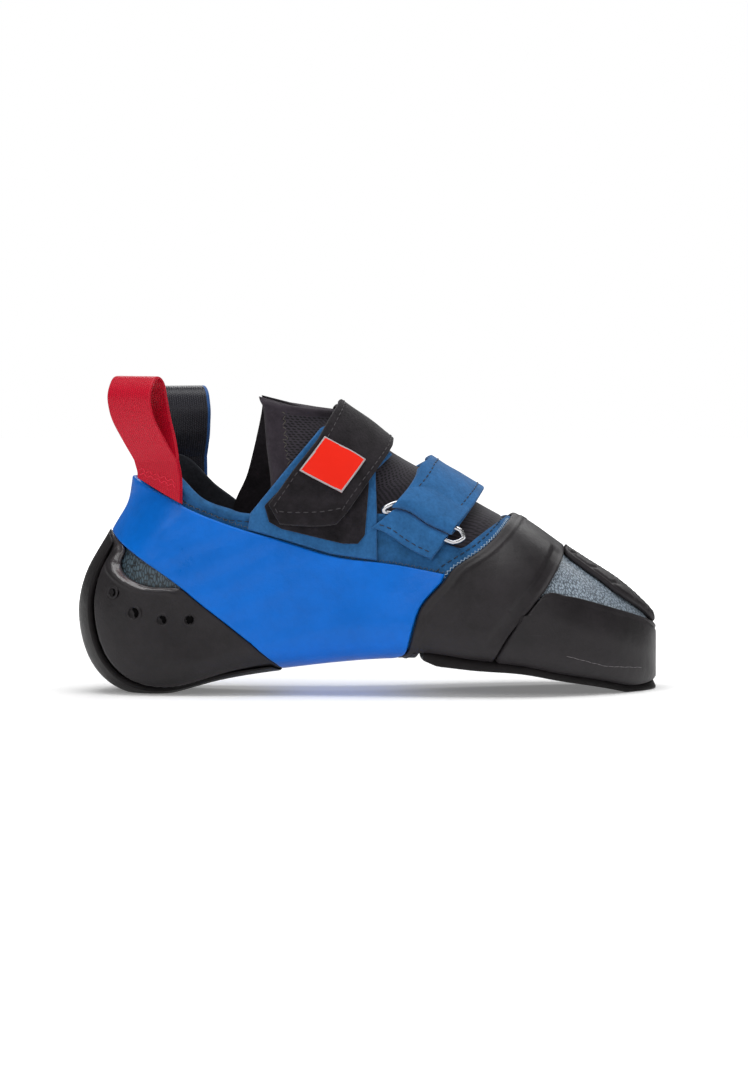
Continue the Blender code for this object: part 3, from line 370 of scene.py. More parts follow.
def mirrored(curve):
    """A little toe side curve carried over the ridge, where the way around runs on past 1."""
    return curve * (1, -1) + (0, 2)


def along(curve, share):
    """Points of a curve at shares of its length, measured in metres along and around."""
    gone = run_length(curve * (ROW_PITCH, AROUND_PITCH))
    return read_at(curve, np.asarray(share) * gone[-1], gone)


def joined(parts, ends, share):
    """Curves laid end to end, the k-th of them running from share ends[k] to ends[k + 1]."""
    share = np.asarray(share)
    result = np.zeros((len(share), 2))
    for part, start, stop in zip(parts, ends[:-1], ends[1:]):
        here = (share >= start) & (share <= stop)
        result[here] = along(part, (share[here] - start) / (stop - start))
    return result


def smoothstep(value):
    """0 to 1 with soft ends: t squared times 3 minus 2 t."""
    t = np.clip(value, 0, 1)
    return t * t * (3 - 2 * t)


def hump(value, middle, width):
    """A bell, 1 at the middle: e to the power of minus the square of the distance over the width."""
    return np.exp(-((value - middle) / width) ** 2)


# %% [markdown]
# Each layer is a patch with four sides, filled between them the way a surveyor blends two pairs of edges:
# both rulings are added and the corners' bilinear patch is taken away. Sheet rubber and suede are cut
# with a thickness, so the patch gets an upper side, an underside and a rounded edge. More rows stand
# close to the edges, where the rounding is, than in the middle.

# %% Patches
ALL_SIDES = ("u0", "u1", "v0", "v1")


def spread(length, step, edge=0.0013):
    """Shares from 0 to 1 that are even in the middle and crowd together at both ends."""
    ends = edge * np.array([0, 0.05, 0.15, 0.3, 0.5, 0.75, 1.0]) / length
    middle = np.linspace(ends[-1], 1 - ends[-1], max(int(length / step), 2) + 1)
    return np.concatenate([ends[:-1], middle, (1 - ends[:-1])[::-1]])


def blend_sides(low, high, left, right, u, v):
    """Both rulings between opposite sides, less the bilinear patch of the corners."""
    scale = (ROW_PITCH, AROUND_PITCH)
    low, high = along(low, u) * scale, along(high, u) * scale
    left, right = along(left, v) * scale, along(right, v) * scale
    u, v = u[:, None, None], v[None, :, None]
    ruled_v = (1 - v) * low[:, None] + v * high[:, None]
    ruled_u = (1 - u) * left[None] + u * right[None]
    corners = (1 - u) * ((1 - v) * low[0] + v * high[0]) + u * ((1 - v) * low[-1] + v * high[-1])
    grid = (ruled_v + ruled_u - corners) / scale
    return grid[..., 0], grid[..., 1]


def ruled(low, high, v):
    """Straight runs between two curves of equally many points."""
    grid = low[:, None] * (1 - v)[None, :, None] + high[:, None] * v[None, :, None]
    return grid[..., 0], grid[..., 1]


def grid_quads(rows, columns, closed=False):
    """Corner indices of every cell of a grid, whose last row may join its first."""
    index = np.arange(rows * columns).reshape(rows, columns)
    index = np.concatenate([index, index[:1]]) if closed else index
    cells = [index[:-1, :-1], index[1:, :-1], index[1:, 1:], index[:-1, 1:]]
    return np.stack(cells, -1).reshape(-1, 4)


def far_in(points, sides=ALL_SIDES, closed=False):
    """Distance of each grid point to the nearest cut edge, measured along the grid's own lines."""
    rows = np.linalg.norm(np.diff(points, axis=1), axis=-1)
    gone = np.concatenate([np.zeros((len(points), 1)), np.cumsum(rows, axis=1)], axis=1)
    near = np.full(points.shape[:2], 1.0)
    near = np.minimum(near, gone) if "v0" in sides else near
    near = np.minimum(near, gone[:, -1:] - gone) if "v1" in sides else near
    if not closed:
        columns = np.linalg.norm(np.diff(points, axis=0), axis=-1)
        gone = np.concatenate([np.zeros((1, points.shape[1])), np.cumsum(columns, axis=0)])
        near = np.minimum(near, gone) if "u0" in sides else near
        near = np.minimum(near, gone[-1:] - gone) if "u1" in sides else near
    return near


def rounded(near, thickness, radius):
    """Height of a cut edge: a short upright wall, then a quarter of an ellipse up to full thickness."""
    wall = thickness * 0.35
    t = 1 - np.clip(near / radius, 0, 1)
    return wall + (thickness - wall) * np.sqrt(np.maximum(1 - t * t, 0))


def by_face(values):
    """The mean of a grid's four corners for every cell."""
    return (values[:-1, :-1] + values[1:, :-1] + values[1:, 1:] + values[:-1, 1:]) / 4


# %% [markdown]
# Every piece ends in the same few steps: its points and faces become a mesh, doubled points are welded, the
# faces are turned outwards, and it is hung on the model with the name of what it stands for.

# %% Pieces from grids
WELD = 3e-6
RELIEF_FADE = 0.002


def built(name, points, faces, materials, kinds=None, uv=None, weld=0.0):
    """One object from points and four-cornered faces, welded where asked and turned outwards."""
    mesh = bpy.data.meshes.new(name)
    mesh.vertices.add(len(points))
    mesh.vertices.foreach_set("co", points.astype(np.float32).ravel())
    mesh.loops.add(faces.size)
    mesh.loops.foreach_set("vertex_index", faces.astype(np.int32).ravel())
    mesh.polygons.add(len(faces))
    mesh.polygons.foreach_set("loop_start", np.arange(0, faces.size, 4, dtype=np.int32))
    if kinds is not None:
        mesh.polygons.foreach_set("material_index", kinds.astype(np.int32))
    mesh.update(calc_edges=True)
    if uv is not None:
        corner_uv = uv[faces.ravel()].astype(np.float32)
        mesh.uv_layers.new(name="UVMap").data.foreach_set("uv", corner_uv.ravel())
    work = bmesh.new()
    work.from_mesh(mesh)
    if weld:
        bmesh.ops.remove_doubles(work, verts=work.verts, dist=weld)
        bmesh.ops.dissolve_degenerate(work, dist=weld, edges=work.edges)
    bmesh.ops.recalc_face_normals(work, faces=work.faces)
    work.to_mesh(mesh)
    work.free()
    mesh.shade_smooth()
    for material in materials:
        mesh.materials.append(material)
    piece = bpy.data.objects.new(name, mesh)
    bpy.context.scene.collection.objects.link(piece)
    print(name, len(mesh.polygons), "faces")
    return piece


def real_uv(points):
    """Distances in metres along and across the patch, so that a weave keeps its true size."""
    across = np.linalg.norm(np.diff(points, axis=1), axis=-1).cumsum(1)
    across = np.concatenate([np.zeros((len(points), 1)), across], 1)
    down = np.linalg.norm(np.diff(points, axis=0), axis=-1).cumsum(0)
    down = np.concatenate([np.zeros((1, points.shape[1])), down], 0)
    return np.stack([down, across - across[:, -1:] / 2], -1)


def solid_from(name, outer, inner, flat, materials, closed=False, kinds=None, inner_kind=0):
    """Two grids of points joined along their borders, with UV distances taken from the flat grid."""
    rows, columns = outer.shape[:2]
    size = rows * columns
    quads = grid_quads(rows, columns, closed)
    index = np.arange(size).reshape(rows, columns)
    ring = [index[:, 0], index[:, -1]]
    if closed:
        ring = [np.append(line, line[0]) for line in ring]
    else:
        ring += [index[0], index[-1]]
    rims = [np.stack([line[:-1], line[1:], line[1:] + size, line[:-1] + size], -1) for line in ring]
    faces = np.concatenate([quads, quads[:, ::-1] + size, *rims])
    points = np.concatenate([outer.reshape(-1, 3), inner.reshape(-1, 3)])
    if kinds is not None:
        rest = np.full(len(faces) - len(quads), inner_kind)
        kinds = np.concatenate([np.ravel(kinds), rest])
    uv = np.concatenate([real_uv(flat).reshape(-1, 2)] * 2)
    return built(name, points, faces, materials, kinds, uv, WELD)


def layer(name, grid, under, thickness, materials, closed=False, radius=0.0009, sides=ALL_SIDES,
          relief=None, push=None, kinds=None):
    """A sheet over the last: from its underside up to a rounded edge, plus any relief."""
    station, around = grid
    seat = under(station, around) if callable(under) else np.full(station.shape, float(under))
    thickness = thickness(station, around) if callable(thickness) else thickness
    bottom = place(station, around, seat)
    near = far_in(bottom, sides, closed)
    lift = seat + rounded(near, thickness, radius)
    if relief is not None:
        lift = lift + relief(station, around, bottom) * smoothstep(near / RELIEF_FADE)
    outer = place(station, around, lift)
    if push is not None:
        outer, bottom = push(outer), push(bottom)
    kinds = None if kinds is None else kinds(by_face(near), by_face(bottom))
    return solid_from(name, outer, bottom, bottom, materials, closed, kinds)


def wear(piece, node=None):
    """The piece rides with the model, and may stand for one of its nodes, whose own piece is then hidden.
    """
    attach(piece, "root")
    if node:
        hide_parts(node)


# %% [markdown]
# The finishes. Moulded climbing rubber is a carbon-filled compound: nearly black, a soft sheen, and dulled
# where it was buffed. Its surface shows faint moulding grain and scuffs.

# %% Rubber


def grain(tree, coordinate, size, detail, rough=0.6, output="Fac"):
    """Noise whose features are about size metres across."""
    return add_node(tree, "ShaderNodeTexNoise", [("Vector", coordinate)],
                    [("Scale", 1 / size), ("Detail", detail), ("Roughness", rough)]).outputs[output]


def ramp(tree, value, span, dark, light):
    """Two colours blended while a value runs over a span."""
    node = add_node(tree, "ShaderNodeValToRGB", [("Fac", value)])
    for end, position, colour in zip(node.color_ramp.elements, span, (dark, light)):
        end.position = position
        end.color = colour
    return node.outputs["Color"]


def mixed(tree, links, values, blend="MIX"):
    """Colours A and B joined by a factor."""
    node = add_node(tree, "ShaderNodeMix", links, values, data_type="RGBA", blend_type=blend)
    return node.outputs["Result"]


def bumped(tree, height, strength, distance, *more):
    """A normal bent by a height, whose full range is a distance in metres."""
    return add_node(tree, "ShaderNodeBump", [("Height", height), *more],
                    [("Strength", strength), ("Distance", distance)]).outputs["Normal"]


def rubber(name, colour, dull, bright, roughness, scuff="#6a6668", shine=0.3):
    """Compound sheet rubber, buffed then washed: mottled tone, grain 0.7 mm across, fine pale scuffs."""
    material, tree = new_material(name, colour, roughness, IOR=1.5, Specular_IOR_Level=shine)
    spot = add_node(tree, "ShaderNodeTexCoord").outputs["Object"]
    cloud = grain(tree, spot, 0.030, 9, 0.72)
    mottle = ramp(tree, cloud, (0.25, 0.78), linear(dull), linear(bright))
    turned = add_node(tree, "ShaderNodeMapping", [("Vector", spot)],
                      [("Rotation", (0.2, 0.6, 0.3)), ("Scale", (1, 1, 14))])
    streak = grain(tree, turned.outputs["Vector"], 0.05, 5)
    mask = ramp(tree, streak, (0.72, 0.90), (0, 0, 0, 1), (0.2, 0.2, 0.2, 1))
    rough = add_node(tree, "ShaderNodeMapRange", [("Value", cloud)],
                     [("From Min", 0.3), ("From Max", 0.7),
                      ("To Min", roughness - 0.07), ("To Max", roughness + 0.09)])
    wavy = bumped(tree, grain(tree, spot, 0.009, 3), 0.5, 0.0007)
    drive(tree, Base_Color=mixed(tree, [("Factor", mask), ("A", mottle)], [("B", linear(scuff))]),
          Roughness=rough.outputs["Result"],
          Normal=bumped(tree, grain(tree, spot, 0.0007, 3), 0.45, 0.00016, ("Normal", wavy)))
    return material


BLACK_RUBBER = rubber("buffed black compound rubber", "#211d20", "#151314", "#2f2b2e", 0.46, shine=0.28)
RIM_RUBBER = rubber("smooth black sole rubber", "#1b181a", "#121011", "#252223", 0.48, shine=0.18)
# Painted shadow: the floors of the punched holes are near black, standing in for the shade inside them.
HOLE_PAINTED_SHADOW = plain("bottom of a punched hole, painted shadow", "#0b0a0b", 0.8, Specular_IOR_Level=0.05)
# The lip rubber is truly glossy, and its colour is lighter than the cup's as a painted highlight.
LIP_RUBBER_PAINTED_HIGHLIGHT = rubber("heat pressed rubber lip", "#3c383a", "#2f2c2e", "#4a4547", 0.20, shine=0.7)
BLUE_RUBBER = rubber("pressed blue band rubber", "#0069cc", "#005fba", "#0072dc", 0.32, "#1278d8", 0.22)

# %% [markdown]
# Suede is split leather with its fibres raised by sanding. Light catches the nap at glancing angles, so it
# gets a sheen, a mottled tone where a hand brushed the nap, and no gloss.

# %% Suede, grained leather and lining


def flecked(tree, tone, grey, factor, gain):
    """A tone multiplied by grey noise, then raised again by a gain."""
    product = mixed(tree, [("A", tone), ("B", grey)], [("Factor", factor)], "MULTIPLY")
    raised = add_node(tree, "ShaderNodeHueSaturation", [("Color", product)], [("Value", gain)])
    return raised.outputs["Color"]


def suede(name, colour, dark, light, nap=0.0011, depth=0.0003):
    """Split leather, sanded: soft mottling 6 mm across over a fibre bump drawn at nap size."""
    material, tree = new_material(name, colour, 0.92, Sheen_Weight=0.12, Sheen_Roughness=0.5,
                                  Specular_IOR_Level=0.15)
    spot = add_node(tree, "ShaderNodeTexCoord").outputs["Object"]
    tone = ramp(tree, grain(tree, spot, 0.006, 5), (0.22, 0.80), linear(dark), linear(light))
    fibre = grain(tree, spot, nap, 6)
    drive(tree, Base_Color=flecked(tree, tone, fibre, 0.55, 1.45), Normal=bumped(tree, fibre, 0.7, depth))
    return material


def grained_leather(name, colour, crack, light):
    """Printed full grain: long cells 1.1 mm across with dark valleys and a waxy sheen on the pebbles."""
    material, tree = new_material(name, colour, 0.42, IOR=1.5, Coat_Weight=0.2, Coat_Roughness=0.3)
    spot = add_node(tree, "ShaderNodeTexCoord").outputs["Object"]
    wobble = grain(tree, spot, 0.004, 2, output="Color")
    bent = mixed(tree, [("A", spot), ("B", wobble)], [("Factor", 0.0012)], "ADD")
    drawn = add_node(tree, "ShaderNodeMapping", [("Vector", bent)],
                     [("Rotation", (0, 0.5, 0)), ("Scale", (1, 1, 0.42))])
    cells = add_node(tree, "ShaderNodeTexVoronoi", [("Vector", drawn.outputs["Vector"])],
                     [("Scale", 1 / 0.0011)], feature="DISTANCE_TO_EDGE").outputs["Distance"]
    tone = ramp(tree, cells, (0.02, 0.22), linear(crack), linear(light))
    patchy = flecked(tree, tone, grain(tree, spot, 0.005, 4), 0.5, 1.35)
    drive(tree, Base_Color=patchy, Normal=bumped(tree, cells, 0.8, 0.0004))
    return material


SUEDE = suede("navy brushed suede", "#26588a", "#1d4569", "#2d659a")
STRAP_SUEDE = suede("blue brushed suede", "#2a5f93", "#245482", "#3069a0")
TOE_LEATHER = grained_leather("blue grey grained leather", "#7d8b98", "#39434d", "#a3b1be")
HEEL_LEATHER = grained_leather("petrol grained leather", "#2b3a43", "#080b0d", "#465a65")
LINING = suede("dark brushed lining", "#2a2c33", "#1f2126", "#34373e", 0.0014)

# %% [markdown]
# The tongue is spacer mesh: two knitted faces with a springy core. At arm's length only rows of small
# dark holes show, about 2 mm apart and set like bricks.

# %% Mesh, tape and webbing
WAVE_PER_METRE = 3.1


def spacer_mesh(name, thread, hole, pitch=(0.0011, 0.0018)):
    """Knitted spacer fabric: a brick pattern of oblong holes on the piece's own UV map, in metres."""
    material, tree = new_material(name, thread, 0.88, Sheen_Weight=0.25, Sheen_Roughness=0.5,
                                  Specular_IOR_Level=0.3)
    uv = add_node(tree, "ShaderNodeTexCoord").outputs["UV"]
    sized = add_node(tree, "ShaderNodeMapping", [("Vector", uv)],
                     [("Scale", (1 / pitch[0], 1 / pitch[1], 1))])
    cells = add_node(tree, "ShaderNodeTexVoronoi", [("Vector", sized.outputs["Vector"])],
                     [("Scale", 1), ("Randomness", 0.25)], voronoi_dimensions="2D")
    tone = ramp(tree, cells.outputs["Distance"], (0.24, 0.42), linear(hole), linear(thread))
    drive(tree, Base_Color=tone, Normal=bumped(tree, tone, 0.8, 0.0004))
    return material


def webbing(name, thread, valley, roughness, ribs=0.0010, picks=0.0008, depth=0.00012):
    """Woven tape: warp ribs run along it and weft picks cross them, as a product of two waves."""
    material, tree = new_material(name, thread, roughness, Specular_IOR_Level=0.25)
    uv = add_node(tree, "ShaderNodeTexCoord").outputs["UV"]
    waves = [add_node(tree, "ShaderNodeTexWave", [("Vector", uv)], [("Scale", 1 / pitch / WAVE_PER_METRE)],
                      bands_direction=way).outputs["Fac"] for pitch, way in ((ribs, "Y"), (picks, "X"))]
    weave = add_node(tree, "ShaderNodeMath", enumerate(waves), operation="MULTIPLY").outputs["Value"]
    tone = ramp(tree, weave, (0.0, 0.45), linear(valley), linear(thread))
    drive(tree, Base_Color=tone, Normal=bumped(tree, weave, 0.5, depth))
    return material


MESH = spacer_mesh("black spacer mesh", "#332e36", "#050405")
HOOK_TAPE = suede("black hook tape", "#1d1a1d", "#100e10", "#2a262a", 0.0009, 0.0005)
LOOP_PILE = suede("black loop pile", "#171517", "#050405", "#2d292e", 0.0020, 0.0012)
FLEECE = suede("black fleece lining", "#1b181c", "#0f0d0f", "#262227", 0.0014, 0.0006)
RED_WEBBING = webbing("red satin webbing", "#c80428", "#a80321", 0.42)
BLACK_WEBBING = webbing("charcoal webbing", "#34343b", "#1f1f24", 0.30)
BLUE_TRIM = plain("blue selvedge thread", "#1c4f8c", 0.6)
BOARD = suede("insole board", "#4a4a4c", "#3c3c3e", "#58585a")
TONGUE_EDGE = suede("smooth black edge binding", "#322c33", "#29242a", "#3b353c", 0.0007)
BADGE_RED = plain("moulded orange red badge", "#ec2410", 0.42, Specular_IOR_Level=0.2)
# Painted reflection: the clear film's edge is a plain light grey standing in for its silvery sheen.
BADGE_FILM_PAINTED_REFLECTION = plain("clear film edge, painted silvery reflection", "#a8a2a4", 0.3)
STEEL = plain("drawn steel wire", "#c9c9cc", 0.22, Metallic=1.0)

# %% [markdown]
# The upper is one shell of suede and leather, open at the collar and the throat. Its rows run across the
# shoe from one side of the opening, under the foot, to the other, and past the vamp they close on the
# ridge.

# %% Upper
UPPER_WALL = 0.0018
COLLAR_ROLL = 0.0013
TOE_LEATHER_FROM = 0.062
SEAM_FROM, SEAM_TO, SEAM_TOP = 0.040, 0.0735, 0.0405
HEEL_LEATHER_TO, HEEL_LEATHER_TOP = -0.060, 0.062
COLLAR_LATERAL = (
    (-0.3965, 0.992), (-0.358, 0.968), (-0.322, 0.905), (-0.292, 0.834), (-0.262, 0.796),
    (-0.235, 0.776), (-0.202, 0.759), (-0.083, 0.757), (0.033, 0.757), (0.083, 0.700),
    (0.133, 0.637), (0.160, 0.622), (0.185, 0.664), (0.222, 0.722), (0.242, 0.742),
)
COLLAR_MEDIAL = (
    (-0.3965, 0.992), (-0.358, 0.990), (-0.320, 0.975), (-0.285, 0.897), (-0.262, 0.845),
    (-0.235, 0.796), (-0.202, 0.768), *COLLAR_LATERAL[7:],
)
low_edge = outline(COLLAR_LATERAL)
high_edge = outline(COLLAR_MEDIAL)
low_edge[0] = high_edge[0] = (low_edge[0, 0], 0.0)
low_edge[-1, 1] = high_edge[-1, 1] = 1.0
VAMP = low_edge[-1, 0]


def collar_at(station, edge):
    """How far around the opening's edge stands at each station, 1 where the shoe is closed."""
    return np.where(station >= VAMP, 1.0, np.interp(station, edge[:, 0], edge[:, 1]))


rows = np.concatenate([along(low_edge, np.linspace(0, 1, 170))[:, 0], np.linspace(VAMP, TOE, 90)[1:]])
columns = spread(0.18, 0.0014) * 2 - 1
station = np.repeat(rows[:, None], len(columns), 1)
low_side, high_side = (collar_at(rows, edge)[:, None] for edge in (low_edge, high_edge))
around = np.where(columns < 0, low_side, high_side) * columns
base = place(station, around, -UPPER_WALL / 2)
near = np.where(station > VAMP, 1.0, far_in(base, ("v0", "v1")))
half_wall = rounded(near, UPPER_WALL, 0.0012) / 2
roll = COLLAR_ROLL * hump(near, 0.0034, 0.0022)
roll = roll * smoothstep((6.6 - station) / 1.2) * smoothstep(near / 0.001)
x, z = np.moveaxis(by_face(base), -1, 0)[[0, 2]]
zone = np.where(x > TOE_LEATHER_FROM, 2, 0)
zone[(x > SEAM_FROM) & (x < SEAM_TO) & (z < SEAM_TOP)] = 4
zone[(x < HEEL_LEATHER_TO) & (z < HEEL_LEATHER_TOP)] = 3
upper = solid_from("upper_shell", place(station, around, -UPPER_WALL / 2 + half_wall + roll),
                   place(station, around, -UPPER_WALL / 2 - half_wall), base,
                   (SUEDE, LINING, TOE_LEATHER, HEEL_LEATHER, RIM_RUBBER), kinds=zone, inner_kind=1)
wear(upper, "upper")

# %% [markdown]
# The rubber over the heel is one moulded sheet. Its rows cross the heel from side to side, its outer edge
# dips round a window of bare leather, and four round holes are pressed through it.

# %% Heel cup
SEAT = 0.0005
CUP_THICKNESS = 0.0016
HEEL_SOLE_THICKNESS = 0.0024
STRIP_STEP = HEEL_SOLE_THICKNESS + 0.0003
SWELL_WIDTH = 0.020
RIM_RISE = 0.0045
WINDOW_FROM, WINDOW_TO = -0.106, -0.074
LIP_TO, LIP_WIDTH = -0.0775, 0.0026
BAND_LOWER = (
    (-0.440, 0.684), (-0.417, 0.616), (-0.337, 0.477), (-0.292, 0.389), (-0.247, 0.305),
    (-0.198, 0.212), (-0.165, 0.155), (-0.148, 0.110),
)
CUP_TOP = (
    (-0.440, 0.684), (-0.425, 0.636), (-0.417, 0.600), (-0.4235, 0.561), (-0.421, 0.515),
    (-0.403, 0.479), (-0.3735, 0.455), (-0.338, 0.452), (-0.318, 0.440), *BAND_LOWER[3:],
)
HOLES = np.array((
    (-0.431, 0.427, 0.0019), (-0.400, 0.347, 0.0024), (-0.355, 0.318, 0.0021), (-0.308, 0.318, 0.0021),
)) * (LENGTH, HEEL_HEIGHT, 1)
heel_edge = outline(BAND_LOWER)
rim_rows = np.linspace(heel_edge[0, 0] + 0.14, heel_edge[-1, 0] - 0.12, 220)
tall, half, low, top, square = section(rim_rows)[2:]
rim = split(half, low, top, tall)[0] * np.arccos((1 - RIM_RISE / low) ** (square / 2)) / (math.pi / 2)
reach = np.minimum(rim, np.interp(rim_rows, heel_edge[:, 0], heel_edge[:, 1]) - 0.02)
reach = np.maximum(reach, 0.012)


def let_down(station, start, run):
    """1 along the heel strip and 0 at both of its ends."""
    return smoothstep((station - rim_rows[0] - start) / run) * smoothstep((rim_rows[-1] - station) / 2.2)


def beyond_strip(station, share):
    """Distance of a way around, without its sign, past the edge of the heel strip."""
    return (share - np.interp(station, rim_rows, reach)) * AROUND_PITCH


def heel_relief(station, around, points):
    """The cup swells up to the strip, thins to a lip at the window, and is pressed in at the holes."""
    beyond = beyond_strip(station, np.abs(around))
    swell = STRIP_STEP * smoothstep(1 - beyond / SWELL_WIDTH) * smoothstep((beyond - 0.0006) / 0.0012)
    away = np.linalg.norm(points[..., None, [0, 2]] - (HOLES[:, :2] + STAND[[0, 2]]), axis=-1)
    depth = smoothstep((HOLES[:, 2] + 0.0003 - away) / 0.0006).max(-1)
    inside = np.linalg.norm(points - points[:, :1], axis=-1)
    edge_x = points[:, :1, 0]
    window = smoothstep((WINDOW_TO - edge_x) / 0.004) * smoothstep((edge_x - WINDOW_FROM) / 0.002)
    bevel = 0.0009 * smoothstep((0.0034 - inside) / 0.0030) - 0.0005 * hump(inside, 0.0044, 0.0012)
    pressed = 0.85 * CUP_THICKNESS * depth + bevel * window
    return swell * let_down(station, 0.2, 0.8) - pressed * (around < 0)


def lip_faces(near, points):
    """The glossy lip round the window, its lighter rubber a painted highlight."""
    edge = points[:, :1]
    beside = np.linalg.norm(points - edge, axis=-1) < LIP_WIDTH
    return beside & (edge[..., 0] < LIP_TO) & (edge[..., 0] > WINDOW_FROM) & (edge[..., 1] < 0)


cup_grid = ruled(lateral(along(outline(CUP_TOP), np.linspace(0, 1, 240))),
                 along(heel_edge, np.linspace(0, 1, 240)), spread(0.13, 0.0009))
cup = layer("heel_cup_rubber", cup_grid, SEAT, CUP_THICKNESS, (BLACK_RUBBER, LIP_RUBBER_PAINTED_HIGHLIGHT),
            sides=("v0", "v1"), relief=heel_relief, kinds=lip_faces)
wear(cup, "heel_cup")

# %% [markdown]
# A punched hole shows a rolled rim and a floor painted near black as its shadow. Each is a profile of
# radii and rises, turned about the cup's normal there, and the four of them are one piece.

# %% Heel holes
HOLE_SIDES = 40
HOLE_WALL = (
    (0.0009, -0.00025), (0.0004, 0.00016), (0.0001, 0.00014), (-0.0002, -0.0003), (-0.0003, -0.0013),
)
HOLE_MIDDLE = (0.00005, -0.00135)


def tube_quads(rings, sides, count=1):
    """Corners for a number of tubes, each of so many rings of so many points."""
    cell = grid_quads(sides, rings, True)
    corner = (cell % rings) * sides + cell // rings
    return (corner[None] + (np.arange(count) * rings * sides)[:, None, None]).reshape(-1, 4)


def dent(x, z, radius):
    """Rings of one hole: the centre plus a radius across the normal and a rise along it."""
    spot = locate(np.array([x]), np.array([z]))[0]
    swell = STRIP_STEP * float(smoothstep(1 - beyond_strip(*spot) / SWELL_WIDTH))
    centre = place(spot[0], -spot[1], SEAT + CUP_THICKNESS + swell)
    out = (place(spot[0], -spot[1], SEAT + CUP_THICKNESS + swell + 0.001) - centre) * 1000
    ahead = unit(np.cross(out, (0, 0, 1)))
    turn = np.linspace(0, 2 * math.pi, HOLE_SIDES, endpoint=False)[:, None]
    circle = np.cos(turn) * ahead + np.sin(turn) * np.cross(ahead, out)
    profile = np.array([*[(radius + wide, rise) for wide, rise in HOLE_WALL], HOLE_MIDDLE])
    return centre + profile[:, None, :1] * circle + profile[:, None, 1:] * out


rings = np.stack([dent(*hole) for hole in HOLES])
faces = tube_quads(rings.shape[1], HOLE_SIDES, len(HOLES))
# The floor faces of each hole get the near black painted shadow.
dark = faces[:, 0] // HOLE_SIDES % rings.shape[1] >= 4
wear(built("heel_holes", rings.reshape(-1, 3), faces, (BLACK_RUBBER, HOLE_PAINTED_SHADOW), dark))

# %% [markdown]
# A thicker strip of sole rubber runs down the back of the heel and under it, where the shoe hooks. It is
# pressed flat where the shoe stands.

# %% Heel sole
STRIP_END = 0.0005


def strip_height(station, around):
    """Full thickness of the heel strip, let down towards both of its ends."""
    return STRIP_END + (HEEL_SOLE_THICKNESS - STRIP_END) * let_down(station, 0, 1.0)


def on_floor(points):
    """Nothing reaches through the floor."""
    points[..., 2] = np.maximum(points[..., 2], 0)
    return points


v = spread(0.05, 0.0012) * 2 - 1
heel_grid = (np.repeat(rim_rows[:, None], len(v), 1), reach[:, None] * v)
heel_sole = layer("heel_sole_rubber", heel_grid, 2 * SEAT + 0.0002 + CUP_THICKNESS, strip_height,
                  (RIM_RUBBER,), radius=0.0008, push=on_floor)
wear(heel_sole, "heel_sole")

# %% [markdown]
# The slingshot band is stretched rubber: a loop that runs round the back of the heel, along both sides and
# under the arch, and presses the foot forward. It is a closed strip between two loops.

# %% Slingshot band
BAND_THICKNESS = 0.0020
BAND_TOP = (
    (-0.402, 0.905), (-0.352, 0.834), (-0.330, 0.805), (-0.292, 0.758), (-0.209, 0.687),
    (-0.141, 0.641), (-0.067, 0.586), (0.004, 0.561), (0.055, 0.544), (0.134, 0.505),
)
PANEL_REAR = (
    (0.020, 0.150), (0.058, 0.186), (0.069, 0.221), (0.081, 0.321), (0.096, 0.397),
    (0.126, 0.477), (0.148, 0.540), (0.200, 0.624), (0.253, 0.760),
)
half_share = np.linspace(0, 1, 260)
front_edge = outline(PANEL_REAR[:6])[::-1]
outer_half = joined((outline(BAND_TOP), front_edge), (0, 0.74, 1), half_share)
outer_half[:, 0] -= 0.03 * smoothstep((half_share - 0.70) / 0.05)
outer_half[-1, 1] = 0.0


def both_ways(half):
    """A loop from half of it: the little toe's side first, then back on the other."""
    return np.concatenate([lateral(half), half[::-1][1:-1]])


def stretch(station, around, points):
    """Soft pull ridges that fan from the heel and fade towards both ends of it."""
    fan = np.sin((points[..., 2] * 1000 - 0.45 * points[..., 0] * 1000) * 0.55)
    fade = smoothstep((-0.02 - points[..., 0]) / 0.03) * smoothstep((points[..., 0] + 0.105) / 0.02)
    return 0.00012 * fan * fade


band_grid = ruled(both_ways(along(heel_edge, half_share)), both_ways(outer_half), spread(0.045, 0.0013))
band = layer("slingshot_band_rubber", band_grid, SEAT, BAND_THICKNESS, (BLUE_RUBBER,), closed=True,
             sides=("v0", "v1"), relief=stretch)
wear(band, "slingshot_band")

# %% [markdown]
# Over the forefoot lies a saddle of black rubber, from under the arch over the ridge to the other side. Its
# front edge is bevelled and its rear edge has a low parallel ridge where it was rolled down.

# %% Forefoot panel
PANEL_THICKNESS = 0.0018
SOLE_REACH = 0.205
SOLE_BACK = 0.086
PANEL_FRONT = (
    (0.321, 0.700), (0.328, 0.620), (0.331, 0.570), (0.304, 0.460),
    (0.285, 0.402), (0.244, 0.284), (0.224, 0.213), (0.212, 0.165),
)
REAR_RIDGE_IN = 0.0042
SKIVE_WIDTH = 0.0068
fine = np.linspace(9, TOE, 800)
SOLE_START = float(np.interp(SOLE_BACK * LENGTH, section(fine)[0][:, 0], fine))
FOOT = SOLE_REACH + 0.004
panel_front = outline(PANEL_FRONT)
panel_front[0, 1] = 1.0
panel_front = panel_front[panel_front[:, 1] > FOOT + 0.02][::-1]
panel_rear = outline(PANEL_REAR)
panel_rear[-1, 1] = 1.0
under_edge = np.array([(SOLE_START - 0.05, 0.0), (SOLE_START - 0.05, FOOT)])
foot_edge = np.array([(SOLE_START - 0.05, FOOT), (panel_front[0, 0], FOOT)])
share = np.unique(np.concatenate([np.linspace(0, 1, 220), [0.16, 0.34]]))
front_half = joined((under_edge, foot_edge, panel_front), (0, 0.16, 0.34, 1), share)


def round_foot(half):
    """A curve from under the foot up the little toe's side, over the ridge and down the other."""
    return np.concatenate([lateral(half), half[::-1][1:] - (0, 2)])


